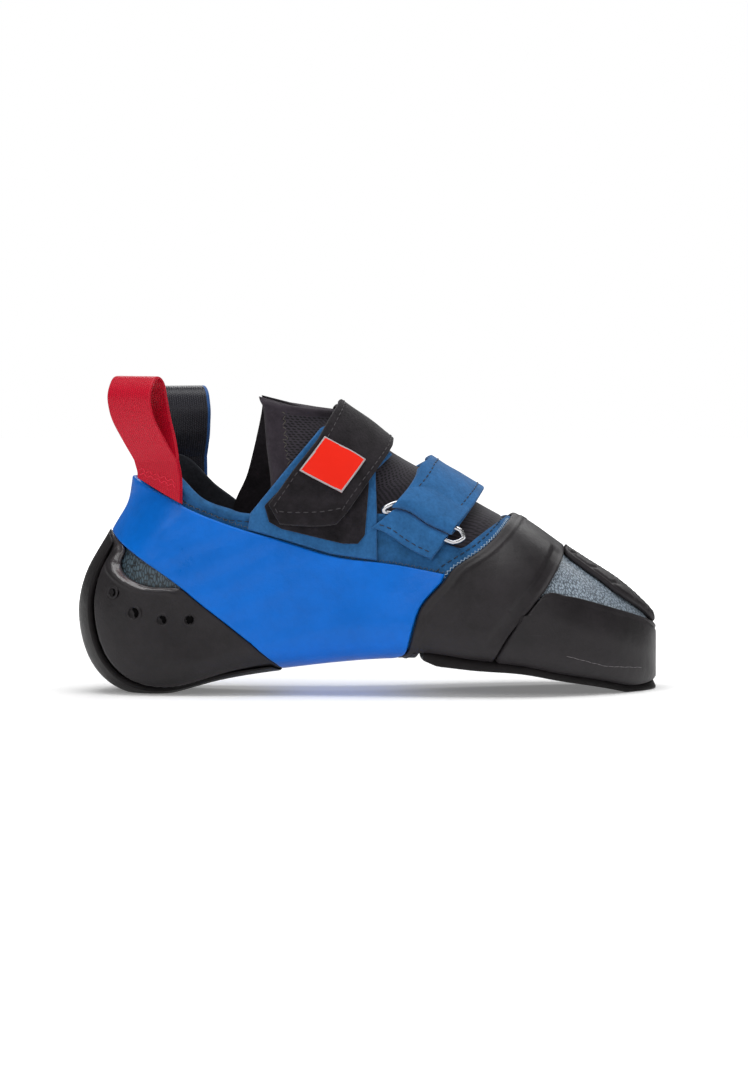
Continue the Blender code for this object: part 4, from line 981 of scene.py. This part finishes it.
def rolled(station, around, points):
    """A low ridge in from the rear edge, a facet in the side, and a skived border along the front edge."""
    inside = np.linalg.norm(points - points[:, :1], axis=-1)
    front = np.linalg.norm(points - points[:, -1:], axis=-1)
    share = np.abs((around + 1) % 2 - 1)
    upright = smoothstep((share - 0.30) / 0.1) * smoothstep((0.90 - share) / 0.08)
    facet = ((points[..., 0] - 0.0438) / 0.009) ** 2 + ((points[..., 2] - 0.0200) / 0.0020) ** 2
    ridge = 0.0006 * np.exp(-facet) + 0.00035 * hump(inside, REAR_RIDGE_IN, 0.0007)
    return ridge - 0.0009 * smoothstep((SKIVE_WIDTH - front) / 0.0016) * upright


panel_grid = ruled(round_foot(along(panel_rear, share)), round_foot(front_half), spread(0.05, 0.0012))
panel = layer("forefoot_panel_rubber", panel_grid, SEAT, PANEL_THICKNESS, (BLACK_RUBBER,),
              sides=("v0", "v1"), relief=rolled, radius=0.0014)
wear(panel, "forefoot_panel")

# %% [markdown]
# The rand is the rubber that runs round the toe above the sole. It butts against the saddle's front edge,
# and a crease follows its upper edge where the sheet was stretched over the toe box.

# %% Toe rand
RAND_THICKNESS = 0.0020
CREASE_DOWN = 0.0023
RAND_TOP = (
    (0.2915, 0.412), (0.3065, 0.428), (0.330, 0.412), (0.356, 0.397), (0.436, 0.332),
    (0.478, 0.290), (0.489, 0.272),
)
RAND_REAR = ((0.2915, 0.412), (0.246, 0.284), (0.226, 0.213), (0.213, 0.165))
rand_top = outline(RAND_TOP)
rand_top[-1, 0] = TOE
rand_rear = outline(RAND_REAR)
rand_rear = rand_rear[rand_rear[:, 1] > FOOT + 0.02][::-1]
rand_rear[0, 1] = FOOT
rand_top[0] = rand_rear[-1]
rand_low = np.array([rand_rear[0], (TOE, FOOT)])
rand_toe = np.array([(TOE, FOOT), rand_top[-1]])
station, around = blend_sides(rand_low, rand_top, rand_rear, rand_toe,
                             np.linspace(0, 1, 150) ** 0.9, spread(0.035, 0.0009))
rand_grid = (np.concatenate([station, station[::-1][1:]]), np.concatenate([-around, around[::-1][1:]]))


def creased(station, around, points):
    """A crease below the upper edge, and the strip above it a little lower."""
    inside = np.linalg.norm(points - points[:, -1:], axis=-1)
    crease = hump(inside, CREASE_DOWN, 0.00045)
    return -0.0004 * crease - 0.0003 * smoothstep((CREASE_DOWN - inside) / 0.0006)


rand = layer("toe_rand_rubber", rand_grid, SEAT, RAND_THICKNESS, (BLACK_RUBBER,), relief=creased,
             sides=("u0", "u1", "v1"))
wear(rand, "toe_rand")

# %% [markdown]
# On top of the toes lies a rubber patch with raised ribs, for hooking holds with the toe. The ribs are
# parted by narrow slanting grooves, which stop short of the patch's border.

# %% Toe patch
PATCH_THICKNESS = 0.0020
PATCH_START = 16.1
RIB_PITCH = 0.0082
HATCH_PITCH = 0.0018
PATCH_SIDE = (
    (0.3260, 0.690), (0.331, 0.610), (0.334, 0.575), (0.358, 0.528),
    (0.402, 0.450), (0.421, 0.412), (0.460, 0.346), (0.4785, 0.306), (0.4872, 0.281),
)
patch_side = outline(PATCH_SIDE) + (0.03, 0.0)
patch_side[:, 0] = np.maximum(patch_side[:, 0], PATCH_START + 0.03)
patch_side[0, 1] = 1.0
patch_low = along(patch_side, np.linspace(0, 1, 120))
patch_grid = ruled(patch_low, mirrored(patch_low), spread(0.03, 0.0006))


def ribs(station, around, points):
    """Pads 8 mm long, parted by narrow slanting grooves that stop short of the border."""
    run = (points[..., 0] + 0.55 * np.abs(points[..., 1])) / RIB_PITCH
    groove = np.exp(-((run % 1 - 0.5) * RIB_PITCH / 0.0006) ** 2)
    hatch = np.cos(points[..., 0] * 2 * math.pi / HATCH_PITCH)
    border = np.minimum(np.abs(around - around[:, :1]), np.abs(around - around[:, -1:])) * AROUND_PITCH
    return (0.0006 - 0.0009 * groove) * smoothstep((border - 0.0012) / 0.0012) + 0.00006 * hatch


patch = layer("toe_patch_rubber", patch_grid, SEAT, PATCH_THICKNESS, (BLACK_RUBBER,), relief=ribs)
wear(patch, "toe_patch")

# %% [markdown]
# The half sole is the thick sheet of sticky rubber under the forefoot. Its underside is straight across the
# foot, thinner at the rear edge, and flat where the shoe stands on the floor.

# %% Half sole
OUTSOLE_THICKNESS = 0.0035
EDGE_ROUND = 0.0008


def tread(points):
    """Underside of the half sole, straight across the foot, thinner at its rear edge, flat on the floor."""
    fine = np.linspace(12, TOE, 400)
    back = section(fine)[0]
    x = points[..., 0] - STAND[0]
    height = np.interp(x, back[:, 0], back[:, 1]) - SEAT - OUTSOLE_THICKNESS
    bevel = OUTSOLE_THICKNESS * 0.6 * smoothstep(1 - (x - SOLE_BACK * LENGTH) / 0.008)
    return np.maximum(height + bevel, 0)


rows = SOLE_START + (TOE - SOLE_START) * spread(0.1, 0.0012)
v = spread(0.07, 0.0012) * 2 - 1
station = np.repeat(rows[:, None], len(v), 1)
around = SOLE_REACH * v * np.ones_like(station)
upper_side = place(station, around, SEAT)
lower_side = place(station, around, smoothstep(np.abs(around) / SOLE_REACH) * (SEAT + RAND_THICKNESS))
inward = 1 - np.clip(far_in(lower_side) / EDGE_ROUND, 0, 1)
lower_side[..., 2] = tread(lower_side) + EDGE_ROUND * (1 - np.sqrt(1 - inward ** 2))
outsole = solid_from("half_sole_rubber", lower_side, upper_side, upper_side, (RIM_RUBBER,))
wear(outsole, "outsole")

# %% [markdown]
# The tongue is a padded sheet under the throat, and it ends in a soft flap round the ankle. Its rows run
# over the ridge from one side to the other. The near side of the flap is cut further forward, so the fleece
# inside the far side shows past it, and a rolled smooth binding frames the mesh.

# %% Tongue
TONGUE_THICKNESS = 0.0026
TONGUE_PUFF = 0.0014
LINING_DEPTH = UPPER_WALL + 0.0003 + 0.0006
TONGUE_FRONT = 15.2
TONGUE_SIDE = (
    (-0.192, 1.262), (-0.186, 1.187), (-0.202, 1.006), (-0.217, 0.885), (-0.236, 0.775),
    (-0.212, 0.672), (-0.083, 0.667), (0.033, 0.660), (0.092, 0.580), (0.133, 0.515),
    (0.175, 0.505), (0.225, 0.560), (0.262, 0.520),
)
TONGUE_NEAR = (
    (-0.192, 1.262), (-0.1885, 1.221), (-0.1829, 1.183), (-0.1777, 1.036), (-0.1707, 0.876),
    (-0.172, 0.775), (-0.150, 0.672), *TONGUE_SIDE[6:],
)
BINDING_WIDTH = 0.0080
TOP_BINDING = 0.0060
FLAP_TO = 4.6
edges = []
for table in (TONGUE_SIDE, TONGUE_NEAR):
    side = outline(table)
    side = side[(side[:, 0] > 0.03) & (side[:, 0] < TONGUE_FRONT)]
    edges.append(along(side, spread(0.20, 0.0012, 0.002)))
station, around = ruled(edges[0], mirrored(edges[1]), spread(0.11, 0.0012, 0.0025))
inner = place(station, around, -LINING_DEPTH - TONGUE_THICKNESS)
near, beside, top_in = (far_in(inner, sides) for sides in (ALL_SIDES, ("v1",), ("u0",)))
throat = np.interp(station, low_edge[:, 0], low_edge[:, 1], left=0.55)
puff = TONGUE_PUFF * smoothstep((np.abs((around + 1) % 2 - 1) - throat - 0.02) / 0.12)
flap = smoothstep((FLAP_TO - station) / 0.8)
roll = np.maximum(0.0010 * hump(beside, 0.0035, 0.003) * flap, 0.0026 * hump(top_in, 0.0032, 0.0028))
soft = rounded(near, TONGUE_THICKNESS + puff, 0.0025) + roll * (near > 0.001)
seam_line = 0.0006 * (hump(beside, BINDING_WIDTH, 0.0008) * flap)
outer = place(station, around, -LINING_DEPTH - TONGUE_THICKNESS + soft - seam_line)
bound = (by_face(beside) < BINDING_WIDTH) & (by_face(station) < FLAP_TO) | (by_face(top_in) < TOP_BINDING)
tongue = solid_from("tongue_padding", outer, inner, inner, (MESH, TONGUE_EDGE, FLEECE),
                    kinds=np.where(bound, 1, 0), inner_kind=2)
wear(tongue, "tongue")
column = np.abs(beside - BINDING_WIDTH).argmin(1)
zigzag_rows = np.arange(len(column))[(station[:, -1] < 4.4) & (top_in[:, 10] > 0.004)]
zigzag_line = outer[zigzag_rows, column[zigzag_rows]]
zigzag_up = zigzag_line + (outer - inner)[zigzag_rows, column[zigzag_rows]]

# %% [markdown]
# A thin board stiffens the foot from the arch to the toes. It lies on the lining, inside the upper.

# %% Insole
INSOLE_THICKNESS = 0.0020
INSOLE_OUTLINE = np.array((
    (7.5, 0.00), (7.55, 0.08), (7.9, 0.16), (8.6, 0.21), (10.0, 0.22), (12.0, 0.20),
    (14.0, 0.16), (16.0, 0.14), (18.5, 0.13), (19.8, 0.11), (20.4, 0.05), (20.5, 0.00),
))
board_edge = along(INSOLE_OUTLINE, np.linspace(0, 1, 180))
insole = layer("insole_board", ruled(lateral(board_edge), board_edge, spread(0.06, 0.0018)),
               -LINING_DEPTH - INSOLE_THICKNESS, INSOLE_THICKNESS, (BOARD,), sides=("v0", "v1"))
wear(insole, "insole")

# %% [markdown]
# Thread shows as a row of short raised stitches. One stitch is a capsule of a few faces, and a whole row is
# one mesh: every stitch's rings are placed at once along the seam's line.

# %% Stitches
CAPSULE = np.array((
    (-0.5, 0.0), (-0.46, 0.6), (-0.3, 1.0), (0.0, 1.1), (0.3, 1.0), (0.46, 0.6), (0.5, 0.0),
))
THREAD_SIDES = 6


def stitch_row(name, points, lifted, slot, thread, pitch=0.0030, length=0.0021, radius=0.00024, zigzag=0.0):
    """Capsules on a line: centre plus radius times cosine on the normal and sine on the side direction."""
    gone = run_length(points)
    count = max(int(gone[-1] / pitch), 1)
    middle = (np.arange(count) + 0.5) * gone[-1] / count
    at = middle[:, None] + CAPSULE[None, :, 0] * length
    centre = read_at(points, at, gone)
    up = unit(read_at(lifted - points, at, gone))
    run = unit(np.gradient(centre, axis=1))
    side = np.cross(up, run)
    swing = np.where(np.arange(count) % 2 == 0, 1.0, -1.0)[:, None] * CAPSULE[None, :, 0] * 2
    centre = centre + side * (swing * zigzag)[..., None]
    turn = np.linspace(0, 2 * math.pi, THREAD_SIDES, endpoint=False)[:, None]
    ring = np.cos(turn) * up[:, :, None] + np.sin(turn) * side[:, :, None]
    body = centre[:, :, None] + ring * (CAPSULE[:, 1] * radius)[None, :, None, None]
    faces = tube_quads(len(CAPSULE), THREAD_SIDES, count)
    wear(built(name, body.reshape(-1, 3), faces, (thread,), weld=2e-6))


def seam(name, curve, lift, slot, thread, count=160, **settings):
    """A row of stitches along a curve of the last."""
    station, around = along(np.asarray(curve, float), np.linspace(0, 1, count)).T
    height = lift(station, around) if callable(lift) else lift
    stitch_row(name, place(station, around, height), place(station, around, height + 0.001), slot, thread,
               **settings)


BLACK_THREAD = plain("black bonded nylon thread", "#312d31", 0.5)
SOFT_THREAD = plain("dull grey overlock thread", "#55514b", 0.8)
BLUE_THREAD = plain("navy bonded nylon thread", "#10263d", 0.55)
RED_THREAD = plain("red bonded nylon thread", "#e0213f", 0.5)

# %% [markdown]
# The main strap closes with hook and loop tape. Under it lie a blue suede wing, sewn to the quarter, and a
# fuzzy pad, both capped below the ridge.

# %% Wing and pad
WING_THICKNESS = 0.0013
WING_TOP = 0.93
PAD_THICKNESS = 0.0012
PAD_TOP = 0.83
FASTENER_GAP = 0.0010
WING_SIDES = (
    ((-0.208, 0.693), (-0.141, 0.648), (-0.066, 0.593), (0.013, 0.565)),
    ((-0.050, 1.140), (0.010, 1.040), (0.036, 0.990)),
    ((-0.208, 0.693), (-0.204, 0.760), (-0.140, 0.950), (-0.085, 1.110), (-0.050, 1.140)),
    ((0.013, 0.565), (0.012, 0.760), (0.008, 0.930), (0.036, 0.990)),
)
PAD_SIDES = (
    ((-0.150, 0.697), (-0.045, 0.636), (-0.020, 0.636)),
    ((-0.120, 0.940), (-0.020, 0.950)),
    ((-0.150, 0.697), (-0.171, 0.725), (-0.179, 0.792), (-0.120, 0.940)),
    ((-0.020, 0.636), (-0.008, 0.670), (-0.004, 0.880), (-0.020, 0.950)),
)


def capped_patch(sides, top, u, v):
    """A patch on the little toe's side between low, high, left and right, no higher around than a limit."""
    curves = [np.minimum(straight(side), (TOE, top)) for side in sides]
    station, around = blend_sides(*curves, u, v)
    return station, -around


wing_grid = capped_patch(WING_SIDES, WING_TOP, spread(0.05, 0.001), spread(0.05, 0.001))
wing = layer("strap_wing_suede", wing_grid, SEAT, WING_THICKNESS, (STRAP_SUEDE,))
wear(wing, "strap_wing")
pad_grid = capped_patch(PAD_SIDES, PAD_TOP, spread(0.036, 0.0009), spread(0.03, 0.0009))
pad = layer("loop_pad_pile", pad_grid, 2 * SEAT + WING_THICKNESS, PAD_THICKNESS, (LOOP_PILE,))
wear(pad, "loop_pad")

# %% [markdown]
# The strap of hook tape runs over the ridge and down the far side. The badge is a plain plate under a clear
# film, whose edge round it is painted light grey as the film's silvery reflection.

# %% Main strap and badge
MAIN_STRAP_THICKNESS = 0.0020
BADGE_THICKNESS = 0.0006
STRAP_REAR = ((-0.152, 0.716), (-0.171, 0.796), (-0.130, 0.930), (-0.092, 1.060), (-0.051, 1.250))
STRAP_FRONT = ((-0.056, 0.716), (-0.039, 0.763), (-0.003, 0.893), (0.028, 1.000), (0.041, 1.120))
BADGE = ((-0.0836, 1.0636), (-0.0166, 0.9594), (-0.0501, 0.8388), (-0.1176, 0.9326))


def strap_seat(station, around):
    """On the pad at the outer side, and a soft step down to the tongue past the ridge."""
    past = np.where(around > 0, 2 - around, -around)
    on_pad = 2 * SEAT + WING_THICKNESS + PAD_THICKNESS + FASTENER_GAP
    return on_pad + (SEAT - on_pad) * smoothstep((past - PAD_TOP - 0.02) / 0.22)


def over_ridge(points):
    """A side's curve from its free end over the ridge to its mirror image, on the lateral side first."""
    curve = along(straight(points), np.linspace(0, 1, 90))
    curve[-1, 1] = 1.0
    return np.concatenate([mirrored(curve), curve[::-1][1:]])


rear_line, front_line = over_ridge(STRAP_REAR), over_ridge(STRAP_FRONT)
main_strap = layer("main_strap_tape", ruled(rear_line, front_line, spread(0.036, 0.0009)), strap_seat,
                   MAIN_STRAP_THICKNESS, (HOOK_TAPE,))
wear(main_strap, "main_strap")

badge_sides = [mirrored(straight((BADGE[a], BADGE[b]))) for a, b in ((3, 2), (0, 1), (3, 0), (2, 1))]
badge_grid = blend_sides(*badge_sides, spread(0.02, 0.0006, 0.0009), spread(0.02, 0.0006, 0.0009))
# The border faces of the badge get the light grey painted reflection of the film's edge.
badge = layer("badge_plate", badge_grid, lambda s, a: strap_seat(s, a) + MAIN_STRAP_THICKNESS + 0.0003,
              BADGE_THICKNESS + 0.0003, (BADGE_RED, BADGE_FILM_PAINTED_REFLECTION), radius=0.0006,
              kinds=lambda near, points: near < 0.0007)
wear(badge, "badge")

# %% [markdown]
# The front strap starts on the far side, crosses the throat, turns round the ring's upper bar and comes
# back over itself. The ring hangs in a folded suede tab. Both are strips that follow a path of distances
# from the throat's edge and lifts off the last.

# %% Front strap and tab
FRONT_STRAP_THICKNESS = 0.0018
FRONT_STRAP_LIFT = 0.0019
RING_WIRE = 0.0020
TAB_THICKNESS = 0.0010
RING_LOW_BAR = -0.0003
RING_TOP_BAR = 0.0051
RING_SPAN = (8.25, 12.45)
GAP = 0.0003
LEAN_OVER = 0.042


def beside_throat(station, distance, lift):
    """Points by their distance from the lateral throat edge, measured up and over the ridge."""
    station = np.asarray(station, float)
    edge = np.interp(station, low_edge[:, 0], low_edge[:, 1])
    near_by = on_last(station, -edge - 0.02) - on_last(station, -edge)
    share = 0.02 / np.linalg.norm(near_by, axis=-1)
    return place(station, -(edge + np.asarray(distance, float) * share), lift)


def strip(name, span, path, thickness, rows=44, lean=0.0):
    """A strap of even thickness swept over a span of stations, its sides and ends rounded.

    With a lean, its rear edge drifts back by so many stations on the way up to the ridge.
    """
    gone = run_length(path)
    path = read_at(path, gone[-1] * spread(gone[-1], 0.0009, 0.0012), gone)
    run = unit(np.gradient(path, axis=0))
    station = span[0] + (span[1] - span[0]) * spread(0.022, 0.022 / rows, 0.0012)
    back = (span[1] - station) / (span[1] - span[0])
    station = station[:, None] - lean * back[:, None] * np.clip(path[:, 0] / LEAN_OVER, 0, 1)
    middle = beside_throat(station, path[:, 0] + 0 * station, path[:, 1] + 0 * station)
    half = rounded(far_in(middle), thickness, 0.0010) / 2
    outer, inner = (beside_throat(station, path[:, 0] - run[:, 1] * lift, path[:, 1] + run[:, 0] * lift)
                    for lift in (half, -half))
    return solid_from(name, outer, inner, middle, (STRAP_SUEDE,))


def turn_round(centre, lift, radius, steps=24):
    """A half turn round a bar, from under it to over it, on the side away from the ridge."""
    angle = np.linspace(-math.pi / 2, -3 * math.pi / 2, steps)
    return np.stack([centre + radius * np.cos(angle), lift + radius * np.sin(angle)], -1)


def level(start, stop, lift, steps=30):
    """A straight run at one lift."""
    return np.stack([np.linspace(start, stop, steps), np.full(steps, lift)], -1)


top_bar = FRONT_STRAP_LIFT + FRONT_STRAP_THICKNESS + GAP + RING_WIRE / 2
low_bar = SEAT + GAP + TAB_THICKNESS + RING_WIRE / 2
low = FRONT_STRAP_LIFT + FRONT_STRAP_THICKNESS / 2
high = low + FRONT_STRAP_THICKNESS + GAP
turn = turn_round(RING_TOP_BAR, top_bar, RING_WIRE / 2 + SEAT + FRONT_STRAP_THICKNESS / 2)
strap_path = np.concatenate([level(0.094, RING_TOP_BAR + 0.004, low), turn,
                             level(RING_TOP_BAR + 0.011, 0.075, high)])
front_strap = strip("front_strap_suede", (8.45, 12.3), strap_path, FRONT_STRAP_THICKNESS, lean=1.7)
wear(front_strap, "front_strap")

low = SEAT + TAB_THICKNESS / 2
high = low + TAB_THICKNESS + GAP
foot = RING_LOW_BAR - 0.0095
turn = turn_round(RING_LOW_BAR, low_bar, RING_WIRE / 2 + SEAT + TAB_THICKNESS / 2)
turn[:, 0] = 2 * RING_LOW_BAR - turn[:, 0]
tab_path = np.concatenate([level(foot, RING_LOW_BAR - 0.002, low, 8), turn,
                           level(RING_LOW_BAR - 0.0045, foot, high, 8)])
tab = strip("ring_tab_suede", (8.6, 12.2), tab_path, TAB_THICKNESS, 30)
wear(tab, "ring_tab")

# %% [markdown]
# The ring is drawn wire, bent to a flat loop with a long bar at each side. Its corners are softened by
# averaging the path, and circles of the wire's radius stand across it.

# %% Ring
WIRE_SIDES = 14
RING_STEPS = 160


def tube(name, points, radius, material):
    """A closed wire: circles of the radius stand across the path, started from the path's outer side."""
    run = unit(np.roll(points, -1, axis=0) - np.roll(points, 1, axis=0))
    out = points - points.mean(0)
    out = unit(out - run * (out * run).sum(1)[:, None])
    turn = np.linspace(0, 2 * math.pi, WIRE_SIDES, endpoint=False)[None, :, None]
    circle = np.cos(turn) * out[:, None] + np.sin(turn) * np.cross(run, out)[:, None]
    rings = points[:, None] + radius * circle
    index = np.arange(len(points) * WIRE_SIDES).reshape(len(points), WIRE_SIDES)
    ahead, beside = np.roll(index, -1, axis=0), np.roll(index, -1, axis=1)
    faces = np.stack([index, beside, np.roll(ahead, -1, axis=1), ahead], -1).reshape(-1, 4)
    return built(name, rings.reshape(-1, 3), faces, (material,))


straight_run = np.linspace(*RING_SPAN, 10)
bend = np.array([0.2, 0.5, 0.8])
bulge = 0.28 * np.sin(bend * math.pi)
ring_station = np.array([*straight_run, *(RING_SPAN[1] + bulge),
                         *straight_run[::-1], *(RING_SPAN[0] - bulge)])
ring_share = np.array([*np.ones(10), *(1 - bend), *np.zeros(10), *bend])
corner_points = beside_throat(ring_station, RING_LOW_BAR + (RING_TOP_BAR - RING_LOW_BAR) * ring_share,
                              low_bar + (top_bar - low_bar) * ring_share)
closed_points = np.concatenate([corner_points, corner_points[:1]])
ring_path = read_at(closed_points, np.linspace(0, len(corner_points), RING_STEPS, endpoint=False),
                    np.arange(len(closed_points)))
weights = np.array([1, 2, 3, 2, 1]) / 9
ring_path = sum(np.roll(ring_path, shift, axis=0) * w for shift, w in zip((-2, -1, 0, 1, 2), weights))
wear(tube("ring_wire", ring_path, RING_WIRE / 2, STEEL), "ring")

# %% [markdown]
# The pull loops are woven webbing, sewn double at the foot and open above in the shape of a drop. The drop
# is a sine of the turn times a sine of half the turn, swept over the tape's width.

# %% Pull loops
LOOP_WIDTH = 0.020
LOOP_THICKNESS = 0.0014
LOOP_FOOT = 0.0815
LOOP_SEAM_TOP = 0.0955
LOOP_DEPTH = 0.0145
LOOP_TURN = math.radians(20)
RED_TURN = math.radians(27)
FOLD_LEAN_FROM = 0.088
edge_line = np.array(BAND_TOP[:5]) * (LENGTH, HEEL_HEIGHT)


def drop_path(top):
    """The tape's middle line in its own plane: up from the foot, round the drop and down again."""
    turn = np.linspace(0, 2 * math.pi, 400)
    tall = top - LOOP_SEAM_TOP - LOOP_THICKNESS / 2
    wide = (LOOP_DEPTH / 1.54 + 0.0002 * np.sin(turn * 9)) * np.sin(turn) * np.sin(turn / 2)
    drop = np.stack([wide, LOOP_SEAM_TOP + tall * (1 - np.cos(turn)) / 2], -1)
    start = int(np.argmax(drop[:, 0] > LOOP_THICKNESS / 2))
    edge = LOOP_THICKNESS / 2 * 1.02
    path = np.concatenate([[(edge, LOOP_FOOT), (edge, LOOP_SEAM_TOP)], drop[start:-start],
                           [(-edge, LOOP_SEAM_TOP), (-edge, LOOP_FOOT)]])
    gone = run_length(path)
    return read_at(path, gone[-1] * spread(gone[-1], 0.0008, 0.0008), gone)


def pull_loop(name, side, x, top, lean, materials, turned=LOOP_TURN):
    """One tape from foot to foot, swept over its width, with even thickness and rounded selvedges."""
    ahead = np.array([math.cos(turned), side * math.sin(turned), 0.0])
    out = np.array([-math.sin(turned), side * math.cos(turned), 0.0])
    heights, shifts = np.meshgrid(np.linspace(LOOP_FOOT, LOOP_SEAM_TOP, 5), np.linspace(-0.01, 0.01, 7))
    seat = locate((x + shifts).ravel(), heights.ravel())
    surface = place(seat[:, 0], seat[:, 1] * side, SEAT + BAND_THICKNESS + GAP) - STAND
    middle = out * ((surface @ out).max() + LOOP_THICKNESS)
    middle = middle + ahead * ((x - middle[0]) / ahead[0])
    path = drop_path(top)
    run = unit(np.gradient(path, axis=0))
    away = np.stack([run[:, 1], -run[:, 0]], -1)
    across = LOOP_WIDTH * (spread(LOOP_WIDTH, 0.0008, 0.0007) - 0.5)
    near = np.minimum(across + LOOP_WIDTH / 2, LOOP_WIDTH / 2 - across)
    half = rounded(np.tile(near, (len(path), 1)), LOOP_THICKNESS, 0.0007) / 2

    def tape(sign):
        """One face: lifted off the path, leant back above, and cut along the band's edge below."""
        flat = path[:, None] + sign * away[:, None] * half[..., None]
        points = middle + ahead * across[None, :, None] + out * flat[..., :1]
        points[..., 0] -= lean * smoothstep((flat[..., 1] - FOLD_LEAN_FROM) / 0.036)
        cut = np.interp(points[..., 0], edge_line[:, 0], edge_line[:, 1]) + 0.0006
        share = np.clip((LOOP_SEAM_TOP - flat[..., 1]) / (LOOP_SEAM_TOP - LOOP_FOOT), 0, 1)
        points[..., 2] = flat[..., 1] + (cut - LOOP_FOOT) * share ** 1.5
        return points + STAND

    outer, inner = tape(1), tape(-1)
    selvedge = np.tile(across[1:] > LOOP_WIDTH / 2 - 0.0011, (len(path) - 1, 1))
    return solid_from(name, outer, inner, (outer + inner) / 2, materials, kinds=selvedge)


red_loop = pull_loop("pull_loop_red_tape", -1, -0.3590 * LENGTH, 0.1315, 0.0092,
                     (RED_WEBBING, RED_WEBBING), RED_TURN)
wear(red_loop, "pull_loop_red")
black_loop = pull_loop("pull_loop_black_tape", 1, -0.325 * LENGTH, 0.1262, 0.0008,
                       (BLACK_WEBBING, BLUE_TRIM))
wear(black_loop, "pull_loop_black")

# %% [markdown]
# The straps are sewn: two rows run down the main strap and one across its end, two run down the front
# strap, and one holds the foot of the ring's tab.

# %% Seams
FRAY = plain("raw suede fibre, frayed", "#a9c0d4", 0.9)
SCUFF = plain("scuffed rubber, pale", "#8a8588", 0.8)
DARK_FRAY = plain("cut edge fibre, dark and dusty", "#5e625c", 0.9)
CLEAR = 0.00005


def on_strap(station, around):
    """Just above the face of the main strap."""
    return strap_seat(station, around) + MAIN_STRAP_THICKNESS + CLEAR


def strap_row(name, station, path):
    """Stitches on a suede strip that follows a path of distances and lifts."""
    distance, lift = path.T
    station = np.broadcast_to(np.asarray(station, float), distance.shape)
    stitch_row(name, beside_throat(station, distance, lift), beside_throat(station, distance, lift + 0.001),
               "blue_strap", BLUE_THREAD)


for count, across in enumerate((0.085, 0.915)):
    line = rear_line * (1 - across) + front_line * across
    seam(f"main_strap_stitches_{count + 1}", line[7:100], on_strap, "black_strap", BLACK_THREAD)
end_line = rear_line[9] + (front_line[9] - rear_line[9]) * np.linspace(0.1, 0.9, 40)[:, None]
seam("main_strap_end_stitches", end_line, on_strap, "black_strap", BLACK_THREAD)

strap_line = level(0.012, 0.072, FRONT_STRAP_LIFT + 2 * FRONT_STRAP_THICKNESS + GAP + CLEAR, 80)
rear_row = 8.95 - 1.48 * np.clip(strap_line[:, 0] / LEAN_OVER, 0, 1)
strap_row("front_strap_stitches_1", rear_row, strap_line)
strap_row("front_strap_stitches_2", 11.8, strap_line)
tab_row = foot + 0.0022
tab_line = level(tab_row, tab_row, SEAT + 2 * TAB_THICKNESS + GAP + CLEAR, 40)
strap_row("ring_tab_stitches", np.linspace(8.75, 12.05, 40), tab_line)

# %% [markdown]
# Three rows of zigzag hold the red loop. They lie on the outermost points of the tape at three heights, and
# the flap's zigzag follows the inner edge of its binding.

# %% Zigzag
points = np.zeros(len(red_loop.data.vertices) * 3)
red_loop.data.vertices.foreach_get("co", points)
points = points.reshape(-1, 3)
outward = np.array((-math.sin(RED_TURN), -math.cos(RED_TURN), 0.0))
for count, height in enumerate((0.0935, 0.0915, 0.0895)):
    shelf = points[np.abs(points[:, 2] - height) < 0.0012]
    face_points = shelf[shelf @ outward > (shelf @ outward).max() - 0.0004]
    ends = face_points[face_points[:, 0].argsort()][[0, -1]]
    line = ends[0] + (ends[1] - ends[0]) * np.linspace(0.08, 0.92, 40)[:, None] + outward * 0.0001
    line[:, 2] = height - (line[:, 0] - line[0, 0]) * 0.35
    stitch_row(f"loop_tack_{count + 1}", line, line + outward * 0.001, "red_webbing", RED_THREAD,
               pitch=0.0017, length=0.0018, radius=0.00022, zigzag=0.0007)
stitch_row("flap_zigzag_stitches", zigzag_line, zigzag_up, "tongue_mesh", SOFT_THREAD,
           pitch=0.0017, length=0.0017, radius=0.00028, zigzag=0.0010)

# %% [markdown]
# Where rubber was pressed over cut suede, fibres stand out as a frayed line. They are the same capsules,
# short and close together, and the scratch on the rand is a row of thin long ones. One seam runs inside
# the vamp's edge and one along the collar.

# %% Fibres and scratch
scratch = straight(((0.332, 0.174), (0.401, 0.124), (0.461, 0.103)))
seam("rand_scratch", lateral(scratch), SEAT + RAND_THICKNESS - 0.00002, "black_rubber", SCUFF, 120,
     pitch=0.0030, length=0.0032, radius=0.00007, zigzag=0.00010)
seam("band_edge_fibres", lateral(outline(BAND_TOP)[14:]) + (-0.05, -0.008), 0.0004, "suede", DARK_FRAY, 200,
     pitch=0.0013, length=0.0009, radius=0.00016, zigzag=0.0005)
vamp_line = panel_rear[(panel_rear[:, 1] > 0.52) & (panel_rear[:, 1] < 0.93)]
seam("vamp_edge_fibres", lateral(vamp_line) + (-0.07, 0), 0.0004, "suede", FRAY, 200,
     pitch=0.0009, length=0.0012, radius=0.00018, zigzag=0.0006)
seam("vamp_stitches", lateral(vamp_line) + (-0.33, 0), 0.0002, "suede", BLUE_THREAD, 200)
collar_line = low_edge[(low_edge[:, 0] > 2.9) & (low_edge[:, 0] < 6.0)]
seam("collar_stitches", lateral(collar_line) + (0, 0.050), 0.0001, "suede", BLUE_THREAD, 160)
